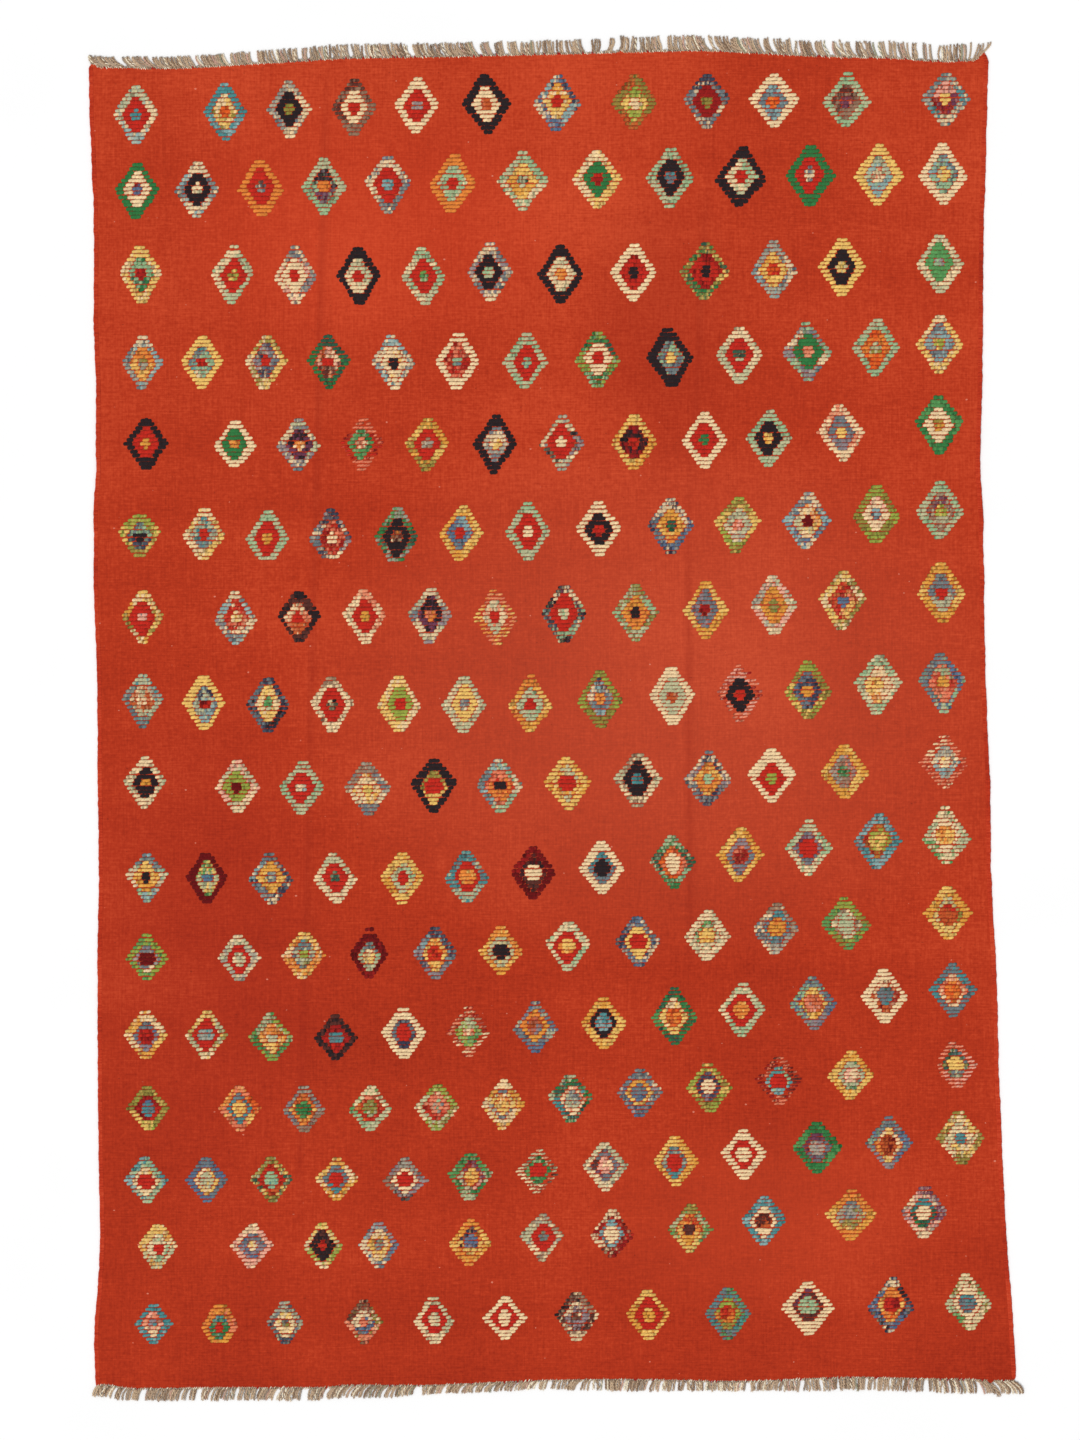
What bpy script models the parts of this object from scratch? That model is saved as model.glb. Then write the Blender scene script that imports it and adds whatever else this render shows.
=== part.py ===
"""A flat-woven wool kilim rug lying on the floor, about 2.0 m wide and 3.0 m long.

One red ground is woven in a single piece, with sixteen rows of brocaded lozenges that stand
a little proud of it. At each end the cut warps hang in clumps out of a narrow twined row.

+X is across the rug, +Y runs along it to the far end, and the floor is Z = 0. Sizes are in
metres and slopes are ratios. The tables give places on the rug as "across" (X) and "along"
(Y), from a point near its middle.
"""

import random
from typing import NamedTuple

import bmesh
import bpy
import numpy as np
from mathutils import Vector
from mathutils.geometry import delaunay_2d_cdt

# Thicknesses
GROUND_THICKNESS = 0.0030
BROCADE_RISE = 0.0013  # how far a lozenge stands proud of the ground
BROCADE_SHOULDER = 0.0045  # how far its crown lies inside its foot
STRIP_THICKNESS = 0.0026  # the twined row that holds the warps
TIP_THICKNESS = 0.0016  # the warps' cut ends
PIECE_GAP = 0.0003

# Lozenges
BLUNT_END = 0.011  # the width of a lozenge's first and last row of brocade
LOZENGE_WIDTH_LEFT = 0.094
LOZENGE_WIDTH_RIGHT = 0.103

# Fringe
STRIP_WIDTH = 0.0045
LOCKS_PER_END = 144
CLUMP_SIZES = (2, 3, 3, 4, 4, 5, 6)  # locks that cling together
ROOT_FILL = 0.80  # the share of a lock's place that its root takes
TIP_FILL = 0.58
CLUMP_SQUEEZE = 0.16  # how far tips draw in towards the middle of their clump
REACH_SPREAD = 0.07  # how unevenly the warps are cut
MIDWAY_LEAN = 0.38  # the share of a lock's lean that it has half way out

# Sampling of the outline
SELVAGE_STEP = 0.070
END_STEP = 0.045

RED = (0.462, 0.045, 0.017)
UNDYED = (0.330, 0.265, 0.195)
WOOL_ROUGHNESS = 0.92


class EdgePoint(NamedTuple):
    """A point that one of the four edges passes through."""

    at: float  # along a selvage, or across an end
    out: float  # across for a selvage, or along for an end


class Column(NamedTuple):
    """Where one column of lozenges lies across the rug, on its way down the warp."""

    far: float
    middle: float
    near: float


class LozengeRow(NamedTuple):
    """Where a row of lozenges lies along the rug, at four places across it."""

    left: float
    inner_left: float
    inner_right: float
    right: float
    length_left: float
    length_right: float


class FringeShape(NamedTuple):
    """The warps' run beyond the cloth at one place across the rug."""

    across: float
    reach: float
    lean: float  # sideways per unit of reach, to +X


class FringedEnd(NamedTuple):
    """One end of the rug, and what its fringe needs."""

    name: str
    edge: list  # of EdgePoint
    outward: int  # 1 at the far end, -1 at the near end
    shapes: list  # of FringeShape
    first: float  # across, where the twined row begins
    last: float
    seed: int


LEFT_SELVAGE = [
    EdgePoint(at, out)
    for at, out in (
        (1.437, -1.019),
        (1.338, -1.018),
        (1.250, -1.014),
        (1.074, -1.008),
        (0.898, -1.008),
        (0.722, -1.003),
        (0.546, -1.003),
        (0.447, -1.008),
        (0.282, -1.008),
        (0.106, -1.001),
        (-0.158, -0.999),
        (-0.334, -0.997),
        (-0.510, -0.999),
        (-0.862, -0.999),
        (-1.126, -0.994),
        (-1.258, -0.999),
        (-1.346, -1.007),
        (-1.474, -1.003),
    )
]
RIGHT_SELVAGE = [
    EdgePoint(at, out)
    for at, out in (
        (1.443, 0.960),
        (1.338, 0.957),
        (1.074, 0.950),
        (0.722, 0.946),
        (0.546, 0.942),
        (0.447, 0.948),
        (0.106, 0.953),
        (-0.158, 0.964),
        (-0.334, 0.966),
        (-0.598, 0.979),
        (-0.774, 0.983),
        (-0.950, 0.990),
        (-1.126, 0.999),
        (-1.302, 1.012),
        (-1.456, 1.021),
    )
]
# The far end has a small ear at each corner, where the selvage runs on past the cloth.
FAR_END = [
    EdgePoint(at, out)
    for at, out in (
        (-1.019, 1.437),
        (-1.007, 1.438),
        (-0.998, 1.431),
        (-0.950, 1.430),
        (-0.840, 1.428),
        (-0.785, 1.430),
        (-0.675, 1.437),
        (-0.565, 1.443),
        (-0.455, 1.450),
        (-0.235, 1.454),
        (-0.015, 1.459),
        (0.150, 1.464),
        (0.315, 1.467),
        (0.425, 1.463),
        (0.535, 1.457),
        (0.645, 1.453),
        (0.755, 1.450),
        (0.865, 1.443),
        (0.924, 1.446),
        (0.939, 1.460),
        (0.948, 1.465),
        (0.955, 1.460),
        (0.960, 1.443),
    )
]
NEAR_END = [
    EdgePoint(at, out)
    for at, out in (
        (-1.003, -1.474),
        (-0.895, -1.474),
        (-0.675, -1.472),
        (-0.510, -1.472),
        (-0.444, -1.466),
        (-0.290, -1.467),
        (-0.180, -1.463),
        (-0.015, -1.456),
        (0.150, -1.454),
        (0.414, -1.458),
        (0.546, -1.453),
        (0.656, -1.449),
        (0.810, -1.452),
        (1.021, -1.456),
    )
]

COLUMNS = [
    Column(far, middle, near)
    for far, middle, near in (
        (-0.913, -0.900, -0.893),
        (-0.781, -0.766, -0.759),
        (-0.640, -0.625, -0.616),
        (-0.502, -0.484, -0.473),
        (-0.361, -0.337, -0.323),
        (-0.218, -0.194, -0.180),
        (-0.064, -0.048, -0.031),
        (0.099, 0.106, 0.117),
        (0.260, 0.264, 0.273),
        (0.416, 0.414, 0.422),
        (0.568, 0.563, 0.583),
        (0.719, 0.717, 0.741),
        (0.860, 0.858, 0.898),
    )
]
COLUMN_STATIONS = (1.181, 0.035, -1.016)  # along, for a column's far, middle and near
ROW_STATIONS = (-0.895, -0.334, 0.260, 0.865)  # across, for a row's four places
ROWS = [
    LozengeRow(*row)
    for row in (
        # left, inner left, inner right, right, length at the left and at the right
        (1.327, 1.346, 1.356, 1.360, 0.130, 0.118),
        (1.159, 1.173, 1.188, 1.197, 0.124, 0.137),
        (0.975, 0.972, 0.981, 0.999, 0.127, 0.129),
        (0.782, 0.783, 0.792, 0.823, 0.117, 0.130),
        (0.603, 0.601, 0.609, 0.645, 0.112, 0.130),
        (0.403, 0.405, 0.422, 0.458, 0.112, 0.129),
        (0.222, 0.224, 0.234, 0.277, 0.118, 0.133),
        (0.035, 0.031, 0.048, 0.077, 0.120, 0.133),
        (-0.145, -0.152, -0.134, -0.097, 0.117, 0.120),
        (-0.352, -0.352, -0.317, -0.260, 0.109, 0.126),
        (-0.526, -0.519, -0.486, -0.431, 0.100, 0.118),
        (-0.697, -0.695, -0.656, -0.598, 0.105, 0.121),
        (-0.858, -0.858, -0.818, -0.757, 0.099, 0.110),
        (-1.016, -1.014, -0.975, -0.924, 0.100, 0.120),
        (-1.162, -1.158, -1.122, -1.085, 0.098, 0.113),
        (-1.333, -1.327, -1.311, -1.284, 0.092, 0.125),
    )
]
# The last two rows are set out afresh, and stand on no column.
LAST_ROWS_ACROSS = (
    (-0.867, -0.660, -0.504, -0.381, -0.180, -0.022, 0.132, 0.304, 0.466, 0.658, 0.818),
    (-0.876, -0.730, -0.587, -0.414, -0.260, -0.103, 0.055, 0.211, 0.387, 0.563, 0.746, 0.915),
)

FAR_FRINGE = [
    FringeShape(across, reach, lean)
    for across, reach, lean in (
        (-0.995, 0.026, -0.85),
        (-0.850, 0.028, -0.72),
        (-0.720, 0.030, -0.40),
        (-0.550, 0.031, -0.28),
        (-0.300, 0.034, -0.40),
        (0.050, 0.035, -0.32),
        (0.300, 0.034, -0.50),
        (0.500, 0.036, -0.38),
        (0.750, 0.039, -0.20),
        (0.860, 0.039, 0.00),
        (0.915, 0.035, 0.45),
    )
]
NEAR_FRINGE = [
    FringeShape(across, reach, lean)
    for across, reach, lean in (
        (-1.000, 0.027, -0.40),
        (-0.800, 0.028, -0.50),
        (-0.620, 0.027, -0.15),
        (-0.500, 0.028, -0.42),
        (-0.200, 0.023, -0.50),
        (-0.020, 0.024, -0.55),
        (0.120, 0.024, -0.18),
        (0.400, 0.025, -0.10),
        (0.550, 0.029, 0.15),
        (0.800, 0.032, -0.05),
        (0.920, 0.031, 0.35),
        (1.016, 0.030, 0.60),
    )
]
FRINGED_ENDS = (
    FringedEnd("fringe_far", FAR_END, 1, FAR_FRINGE, -0.992, 0.921, seed=11),
    FringedEnd("fringe_near", NEAR_END, -1, NEAR_FRINGE, -0.999, 1.016, seed=23),
)


def smooth_curve(stations, values, at):
    """Read the smooth curve through the stations' values at the places in `at`.

    The curve's slope at a station is the harmonic mean of the chords beside it, or level
    where they turn, so that it never bulges past the values that it joins.
    """
    stations, values, at = (np.asarray(v, float) for v in (stations, values, at))
    if stations[0] > stations[-1]:
        stations, values = stations[::-1], values[::-1]
    step = np.diff(stations)
    chord = np.diff(values) / step
    slope = np.concatenate([chord[:1], np.zeros(len(chord) - 1), chord[-1:]])
    for i in range(1, len(chord)):
        if chord[i - 1] * chord[i] > 0:
            slope[i] = 2 * chord[i - 1] * chord[i] / (chord[i - 1] + chord[i])
    i = np.clip(np.searchsorted(stations, at) - 1, 0, len(step) - 1)
    t = (at - stations[i]) / step[i]
    start = (1 + 2 * t) * (1 - t) ** 2 * values[i] + t * (1 - t) ** 2 * step[i] * slope[i]
    end = t**2 * (3 - 2 * t) * values[i + 1] - t**2 * (1 - t) * step[i] * slope[i + 1]
    return start + end


def sample_edge(edge, step):
    """Return the edge's stations, at most `step` apart, and how far out it lies at each."""
    places = sorted(point.at for point in edge)
    stations = [places[0]]
    for start, end in zip(places, places[1:]):
        pieces = max(int(np.ceil((end - start) / step)), 1)
        stations.extend(np.linspace(start, end, pieces + 1)[1:])
    out = smooth_curve([p.at for p in edge], [p.out for p in edge], stations)
    return np.array(stations), out


def ground_outline():
    """Return the ground's outline, anticlockwise from its near left corner."""
    near_x, near_y = sample_edge(NEAR_END, END_STEP)
    far_x, far_y = sample_edge(FAR_END, END_STEP)
    left_y, left_x = sample_edge(LEFT_SELVAGE, SELVAGE_STEP)
    right_y, right_x = sample_edge(RIGHT_SELVAGE, SELVAGE_STEP)
    near = list(zip(near_x, near_y))
    right = list(zip(right_x, right_y))
    far = list(zip(far_x, far_y))[::-1]
    left = list(zip(left_x, left_y))[::-1]
    return near + right[1:] + far[1:] + left[1:-1]


def column_across(column, along):
    """Return where a column lies across the rug at this place along it."""
    return float(smooth_curve(COLUMN_STATIONS, column, along))


def lozenges_across(index):
    """Return where the lozenges of row `index` (from the far end) lie across the rug.

    Every other row has one on each of the columns. The rows between them keep the first
    and the last column, and otherwise stand half way between two columns.
    """
    on_columns = len(ROWS) - len(LAST_ROWS_ACROSS)
    if index >= on_columns:
        return LAST_ROWS_ACROSS[index - on_columns]
    columns = [column_across(column, ROWS[index].inner_left) for column in COLUMNS]
    if index % 2:
        return columns
    between = [(a + b) / 2 for a, b in zip(columns[1:-1], columns[2:-1])]
    return [columns[0], *between, columns[-1]]


def lozenge_corners(across, along, width, length):
    """Return a lozenge's six corners, anticlockwise: blunt at its ends, pointed at its sides."""
    blunt = BLUNT_END / 2
    corners = ((-blunt, -1), (blunt, -1), (width / 2, 0), (blunt, 1), (-blunt, 1), (-width / 2, 0))
    return [(across + x, along + y * length / 2) for x, y in corners]


def lozenges():
    """Yield each lozenge's middle, width and length."""
    span = ROW_STATIONS[-1] - ROW_STATIONS[0]
    for index, row in enumerate(ROWS):
        for across in lozenges_across(index):
            along = float(smooth_curve(ROW_STATIONS, row[:4], across))
            share = (across - ROW_STATIONS[0]) / span
            width = LOZENGE_WIDTH_LEFT + share * (LOZENGE_WIDTH_RIGHT - LOZENGE_WIDTH_LEFT)
            length = row.length_left + share * (row.length_right - row.length_left)
            yield across, along, width, length


def triangulate(outline, rings=()):
    """Return the points and triangles of the plane inside the outline, with every ring kept.

    Points keep their order: the outline's first, then those of each ring.
    """
    points = [Vector(p) for p in outline]
    edges = []
    for ring in rings:
        first = len(points)
        points.extend(Vector(p) for p in ring)
        edges.extend((first + i, first + (i + 1) % len(ring)) for i in range(len(ring)))
    inside_only = 1
    nearest = 1e-7
    border = [list(range(len(outline)))]
    found = delaunay_2d_cdt(points, edges, border, inside_only, nearest)
    if len(found[0]) != len(points):
        raise ValueError("two points of the plane meet")
    order = [original[0] for original in found[3]]
    return points, [[order[i] for i in face] for face in found[2]]


def wool(name, colour):
    """Return a plain wool material."""
    material = bpy.data.materials.new(name)
    material.use_nodes = True
    shader = material.node_tree.nodes["Principled BSDF"]
    shader.inputs["Base Color"].default_value = (*colour, 1.0)
    shader.inputs["Roughness"].default_value = WOOL_ROUGHNESS
    shader.inputs["Metallic"].default_value = 0.0
    return material


def finish_object(name, mesh_data, material, parent):
    """Turn the bmesh into a named object under the rug's empty."""
    bmesh.ops.recalc_face_normals(mesh_data, faces=mesh_data.faces)
    mesh = bpy.data.meshes.new(name)
    mesh_data.to_mesh(mesh)
    mesh_data.free()
    mesh.materials.append(material)
    piece = bpy.data.objects.new(name, mesh)
    bpy.context.scene.collection.objects.link(piece)
    piece.parent = parent
    return piece


def build_ground(material, parent):
    """Build the woven ground: flat below, with the brocaded lozenges raised above."""
    outline = ground_outline()
    feet = [lozenge_corners(*lozenge) for lozenge in lozenges()]
    crowns = [
        lozenge_corners(x, y, width - 2 * BROCADE_SHOULDER, length - 2 * BROCADE_SHOULDER)
        for x, y, width, length in lozenges()
    ]
    points, triangles = triangulate(outline, feet + crowns)
    first_crown = len(outline) + sum(len(foot) for foot in feet)
    crown_top = GROUND_THICKNESS + BROCADE_RISE

    ground = bmesh.new()
    heights = [GROUND_THICKNESS if i < first_crown else crown_top for i in range(len(points))]
    upper = [ground.verts.new((p.x, p.y, z)) for p, z in zip(points, heights)]
    for triangle in triangles:
        ground.faces.new([upper[i] for i in triangle])
    lower = [ground.verts.new((x, y, 0.0)) for x, y in outline]
    for triangle in triangulate(outline)[1]:
        ground.faces.new([lower[i] for i in reversed(triangle)])
    for i in range(len(outline)):
        j = (i + 1) % len(outline)
        ground.faces.new((lower[i], lower[j], upper[j], upper[i]))
    return finish_object("kilim_ground", ground, material, parent)


class Lock(NamedTuple):
    """One lock of warps: where its root and its tip lie across the rug, and its reach."""

    root: float
    tip: float
    reach: float


class TwinedRow:
    """The narrow row that holds the warps of one end, just clear of the cloth."""

    def __init__(self, end):
        self.end = end
        self.stations, self.cloth_edge = sample_edge(end.edge, END_STEP)

    def inner(self, across):
        """Return where the row's inner edge lies along the rug."""
        cloth = float(np.interp(across, self.stations, self.cloth_edge))
        return cloth + self.end.outward * PIECE_GAP

    def outer(self, across, reach=STRIP_WIDTH):
        """Return where the row's outer edge lies, or a line that reaches further out."""
        return self.inner(across) + self.end.outward * reach

    def outline(self, roots):
        """Return the row's outline, anticlockwise, with the locks' roots on its outer edge."""
        first, last = self.end.first, self.end.last
        inside = [x for x in self.stations if first < x < last]
        inner = [(x, self.inner(x)) for x in (first, *inside, last)]
        outer = [(first, self.outer(first)), *roots, (last, self.outer(last))]
        around = inner + outer[::-1]
        return around if self.end.outward < 0 else around[::-1]


def share_out_clumps(rng):
    """Return the clump that each lock of one end belongs to."""
    clumps = []
    number = 0
    while len(clumps) < LOCKS_PER_END:
        clumps.extend([number] * rng.choice(CLUMP_SIZES))
        number += 1
    return np.array(clumps[:LOCKS_PER_END])


def lock_pitch(end):
    """Return the room that one lock has at its root."""
    return (end.last - end.first) / LOCKS_PER_END


def lay_locks(end):
    """Return the locks of one end, from left to right."""
    rng = random.Random(end.seed)
    roots = end.first + lock_pitch(end) * (np.arange(LOCKS_PER_END) + 0.5)
    clumps = share_out_clumps(rng)
    stations = [shape.across for shape in end.shapes]
    reaches = smooth_curve(stations, [shape.reach for shape in end.shapes], roots)
    leans = smooth_curve(stations, [shape.lean for shape in end.shapes], roots)
    locks = []
    for root, clump, reach, lean in zip(roots, clumps, reaches, leans):
        reach = reach * (1 + rng.uniform(-REACH_SPREAD, REACH_SPREAD))
        middle = roots[clumps == clump].mean()
        tip = root + lean * reach + CLUMP_SQUEEZE * (middle - root)
        locks.append(Lock(root, tip, reach))
    return locks


def lock_rings(lock, row):
    """Return a lock's three cross-sections, from its root to its tip.

    Each has four corners: lower left, lower right, upper right and upper left.
    """
    half_root = ROOT_FILL * lock_pitch(row.end) / 2
    half_tip = TIP_FILL * lock_pitch(row.end) / 2
    half_midway = (half_root + half_tip) / 2
    midway = lock.root + MIDWAY_LEAN * (lock.tip - lock.root)
    midway_out = row.outer(lock.root, (STRIP_WIDTH + lock.reach) / 2)
    tip_out = row.outer(lock.root, lock.reach)
    left, right = lock.root - half_root, lock.root + half_root
    sections = (
        ((left, row.outer(left)), (right, row.outer(right)), STRIP_THICKNESS),
        ((midway - half_midway, midway_out), (midway + half_midway, midway_out), STRIP_THICKNESS),
        ((lock.tip - half_tip, tip_out), (lock.tip + half_tip, tip_out), TIP_THICKNESS),
    )
    return [[(*a, 0.0), (*b, 0.0), (*b, top), (*a, top)] for a, b, top in sections]


def grow_lock(fringe, root, rings):
    """Add a lock's faces, from its root's four vertices on the twined row to its cut end."""
    previous = root
    for ring in rings:
        current = [fringe.verts.new(corner) for corner in ring]
        for i in range(len(ring)):
            j = (i + 1) % len(ring)
            fringe.faces.new((previous[i], previous[j], current[j], current[i]))
        previous = current
    fringe.faces.new(previous)


def build_fringe(end, material, parent):
    """Build one end's fringe: the twined row, with its locks grown out of its outer face."""
    row = TwinedRow(end)
    all_rings = [lock_rings(lock, row) for lock in lay_locks(end)]
    roots = [corner[:2] for rings in all_rings for corner in rings[0][:2]]
    points, triangles = triangulate(row.outline(roots))

    fringe = bmesh.new()
    low = [fringe.verts.new((point.x, point.y, 0.0)) for point in points]
    high = [fringe.verts.new((point.x, point.y, STRIP_THICKNESS)) for point in points]
    for triangle in triangles:
        fringe.faces.new([high[i] for i in triangle])
        fringe.faces.new([low[i] for i in reversed(triangle)])
    number_at = {tuple(point): i for i, point in enumerate(points)}
    rooted = set()
    for rings in all_rings:
        left, right = (number_at[tuple(Vector(corner[:2]))] for corner in rings[0][:2])
        rooted.add(frozenset((left, right)))
        grow_lock(fringe, [low[left], low[right], high[right], high[left]], rings[1:])
    for i in range(len(points)):
        j = (i + 1) % len(points)
        if frozenset((i, j)) not in rooted:
            fringe.faces.new((low[i], low[j], high[j], high[i]))
    return finish_object(end.name, fringe, material, parent)


def centre_on_origin(rug, pieces):
    """Move the rug so that its middle stands over the origin."""
    places = np.array([vertex.co for piece in pieces for vertex in piece.data.vertices])
    middle = (places.min(axis=0) + places.max(axis=0)) / 2
    rug.location = (-middle[0], -middle[1], 0.0)


def main():
    """Build the rug in an empty scene."""
    for old in list(bpy.data.objects):
        bpy.data.objects.remove(old, do_unlink=True)
    rug = bpy.data.objects.new("rug", None)
    bpy.context.scene.collection.objects.link(rug)
    red_wool = wool("red_wool", RED)
    undyed_wool = wool("undyed_wool", UNDYED)
    ground = build_ground(red_wool, rug)
    fringes = [build_fringe(end, undyed_wool, rug) for end in FRINGED_ENDS]
    centre_on_origin(rug, [ground, *fringes])


main()
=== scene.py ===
"""A flat-woven wool kilim rug lying on a pale floor, seen from straight above.

The red cloth is one ribbed sheet between two corded selvages. Sixteen rows of lozenges are
brocaded on it in small slanting stitches, and at each end the cut warps leave a twined row
of pale knots as a short fringe of two-ply strands.

The tables give places on the rug as "across" (X) and "along" (Y) in metres from a point near
its middle. A workshop moves what is made from them to where the frame holds the rug.
"""

import logging
from dataclasses import dataclass, replace
from enum import Enum

import bpy
import numpy as np
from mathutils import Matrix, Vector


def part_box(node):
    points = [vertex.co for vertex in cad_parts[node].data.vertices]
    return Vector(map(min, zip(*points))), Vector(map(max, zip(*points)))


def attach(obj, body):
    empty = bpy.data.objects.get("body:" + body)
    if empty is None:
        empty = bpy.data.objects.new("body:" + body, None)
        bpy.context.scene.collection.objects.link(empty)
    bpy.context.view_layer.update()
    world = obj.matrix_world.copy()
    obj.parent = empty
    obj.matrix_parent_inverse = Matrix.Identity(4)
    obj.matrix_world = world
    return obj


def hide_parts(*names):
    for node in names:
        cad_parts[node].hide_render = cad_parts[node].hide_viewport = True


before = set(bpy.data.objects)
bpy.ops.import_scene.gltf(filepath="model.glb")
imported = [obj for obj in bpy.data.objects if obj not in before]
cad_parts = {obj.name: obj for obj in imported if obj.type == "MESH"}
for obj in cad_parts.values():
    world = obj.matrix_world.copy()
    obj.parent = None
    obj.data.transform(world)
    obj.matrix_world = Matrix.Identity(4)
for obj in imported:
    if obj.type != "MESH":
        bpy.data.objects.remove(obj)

log = logging.getLogger("kilim")

Colour = tuple[float, float, float]
Array = np.ndarray
Socket = bpy.types.NodeSocket
Piece = bpy.types.Object

HALF_LENGTH = 1.46  # of the plan, from its middle to the end of the cloth


# ------------------------------------------------------------
# The plan of the rug


def smooth_curve(stations: Array, values: Array, at: Array) -> Array:
    """Read the smooth curve through the stations' values.

    The slope at a station is the harmonic mean of the chords beside it, or level where they
    turn, so that the curve never bulges past the values that it joins.

    Args:
        stations: The places of the known values, rising or falling.
        values: The known values.
        at: The places to read. Those past the ends read the end values.

    Returns:
        The curve's values at those places.
    """
    stations, values, at = (np.asarray(v, float) for v in (stations, values, at))
    if stations[0] > stations[-1]:
        stations, values = stations[::-1], values[::-1]
    step = np.diff(stations)
    chord = np.diff(values) / step
    before, after = chord[:-1], chord[1:]
    together = np.where(before * after > 0, before + after, 1.0)
    inner = np.where(before * after > 0, 2 * before * after / together, 0.0)
    slope = np.concatenate([chord[:1], inner, chord[-1:]])
    at = np.clip(at, stations[0], stations[-1])
    i = np.clip(np.searchsorted(stations, at) - 1, 0, len(step) - 1)
    t = (at - stations[i]) / step[i]
    start = (1 + 2 * t) * (1 - t) ** 2 * values[i] + t * (1 - t) ** 2 * step[i] * slope[i]
    end = t**2 * (3 - 2 * t) * values[i + 1] - t**2 * (1 - t) * step[i] * slope[i + 1]
    return start + end


class Side(Enum):
    """The two long sides of the rug, as the way out of the cloth along X."""

    LEFT = -1
    RIGHT = 1


class End(Enum):
    """The two ends of the rug, as the way out of the cloth along Y."""

    FAR = 1
    NEAR = -1


@dataclass(frozen=True)
class Edge:
    """One edge of the cloth: the smooth curve through its points.

    Each point gives its place along a selvage and how far across it lies, or its place
    across an end and how far along it lies.
    """

    points: tuple[tuple[float, float], ...]

    def out(self, at: Array) -> Array:
        """Return how far out the edge lies at these places."""
        stations, values = zip(*self.points)
        return smooth_curve(stations, values, at)


LEFT_SELVAGE = Edge((
    (1.437, -1.019), (1.338, -1.018), (1.250, -1.014), (1.074, -1.008), (0.898, -1.008),
    (0.722, -1.003), (0.546, -1.003), (0.447, -1.008), (0.282, -1.008), (0.106, -1.001),
    (-0.158, -0.999), (-0.334, -0.997), (-0.510, -0.999), (-0.862, -0.999), (-1.126, -0.994),
    (-1.258, -0.999), (-1.346, -1.007), (-1.474, -1.003),
))
RIGHT_SELVAGE = Edge((
    (1.443, 0.960), (1.338, 0.957), (1.074, 0.950), (0.722, 0.946), (0.546, 0.942),
    (0.447, 0.948), (0.106, 0.953), (-0.158, 0.964), (-0.334, 0.966), (-0.598, 0.979),
    (-0.774, 0.983), (-0.950, 0.990), (-1.126, 0.999), (-1.302, 1.012), (-1.456, 1.021),
))
FAR_END = Edge((
    (-1.019, 1.437), (-1.007, 1.438), (-0.998, 1.431), (-0.950, 1.430), (-0.840, 1.428),
    (-0.785, 1.430), (-0.675, 1.437), (-0.565, 1.443), (-0.455, 1.450), (-0.235, 1.454),
    (-0.015, 1.459), (0.143, 1.4635), (0.150, 1.4680), (0.157, 1.4640), (0.315, 1.467),
    (0.425, 1.463), (0.535, 1.457), (0.645, 1.453), (0.755, 1.450), (0.865, 1.443),
    (0.925, 1.446), (0.936, 1.449), (0.942, 1.459), (0.948, 1.4665), (0.9535, 1.459),
    (0.960, 1.443),
))
NEAR_END = Edge((
    (-1.003, -1.464), (-0.970, -1.467), (-0.930, -1.474), (-0.895, -1.474), (-0.675, -1.472),
    (-0.510, -1.472), (-0.444, -1.466), (-0.290, -1.467), (-0.180, -1.463), (-0.015, -1.456),
    (0.150, -1.454), (0.414, -1.458), (0.546, -1.453), (0.656, -1.449), (0.810, -1.452),
    (0.953, -1.455), (0.964, -1.463), (0.974, -1.456), (1.021, -1.456),
))


@dataclass(frozen=True)
class RugPlan:
    """The cloth's outline, and places on it as shares of its width and length."""

    left: Edge = LEFT_SELVAGE
    right: Edge = RIGHT_SELVAGE
    far: Edge = FAR_END
    near: Edge = NEAR_END
    thickness: float = 0.0030
    least_width: tuple[float, float] = (-0.99, 0.95)  # across: cloth all along the rug
    samples: int = 400

    def side(self, side: Side) -> Edge:
        """Return the selvage on this side."""
        return self.left if side is Side.LEFT else self.right

    def end(self, end: End) -> Edge:
        """Return the cloth's edge at this end."""
        return self.far if end is End.FAR else self.near

    def places(self, width_share: Array, length_share: Array, inset: float) -> tuple[Array, Array]:
        """Turn shares of the cloth into places on it.

        Args:
            width_share: 0 at the left selvage to 1 at the right one.
            length_share: 0 at the near end to 1 at the far one.
            inset: How far inside the outline the sides of the places are kept.

        Returns:
            The places across and along.
        """
        along = -HALF_LENGTH + 2 * HALF_LENGTH * length_share
        for _ in range(3):
            left, right = self.left.out(along) + inset, self.right.out(along) - inset
            across = left + width_share * (right - left)
            near, far = self.near.out(across), self.far.out(across)
            along = near + length_share * (far - near)
        return across, along

    def area(self) -> float:
        """Measure the cloth.

        Returns:
            Its flat area in square metres.
        """
        along = np.linspace(-HALF_LENGTH, HALF_LENGTH, self.samples)
        across = np.linspace(*self.least_width, self.samples)
        width = float(np.mean(self.right.out(along) - self.left.out(along)))
        length = float(np.mean(self.far.out(across) - self.near.out(across)))
        return width * length


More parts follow.
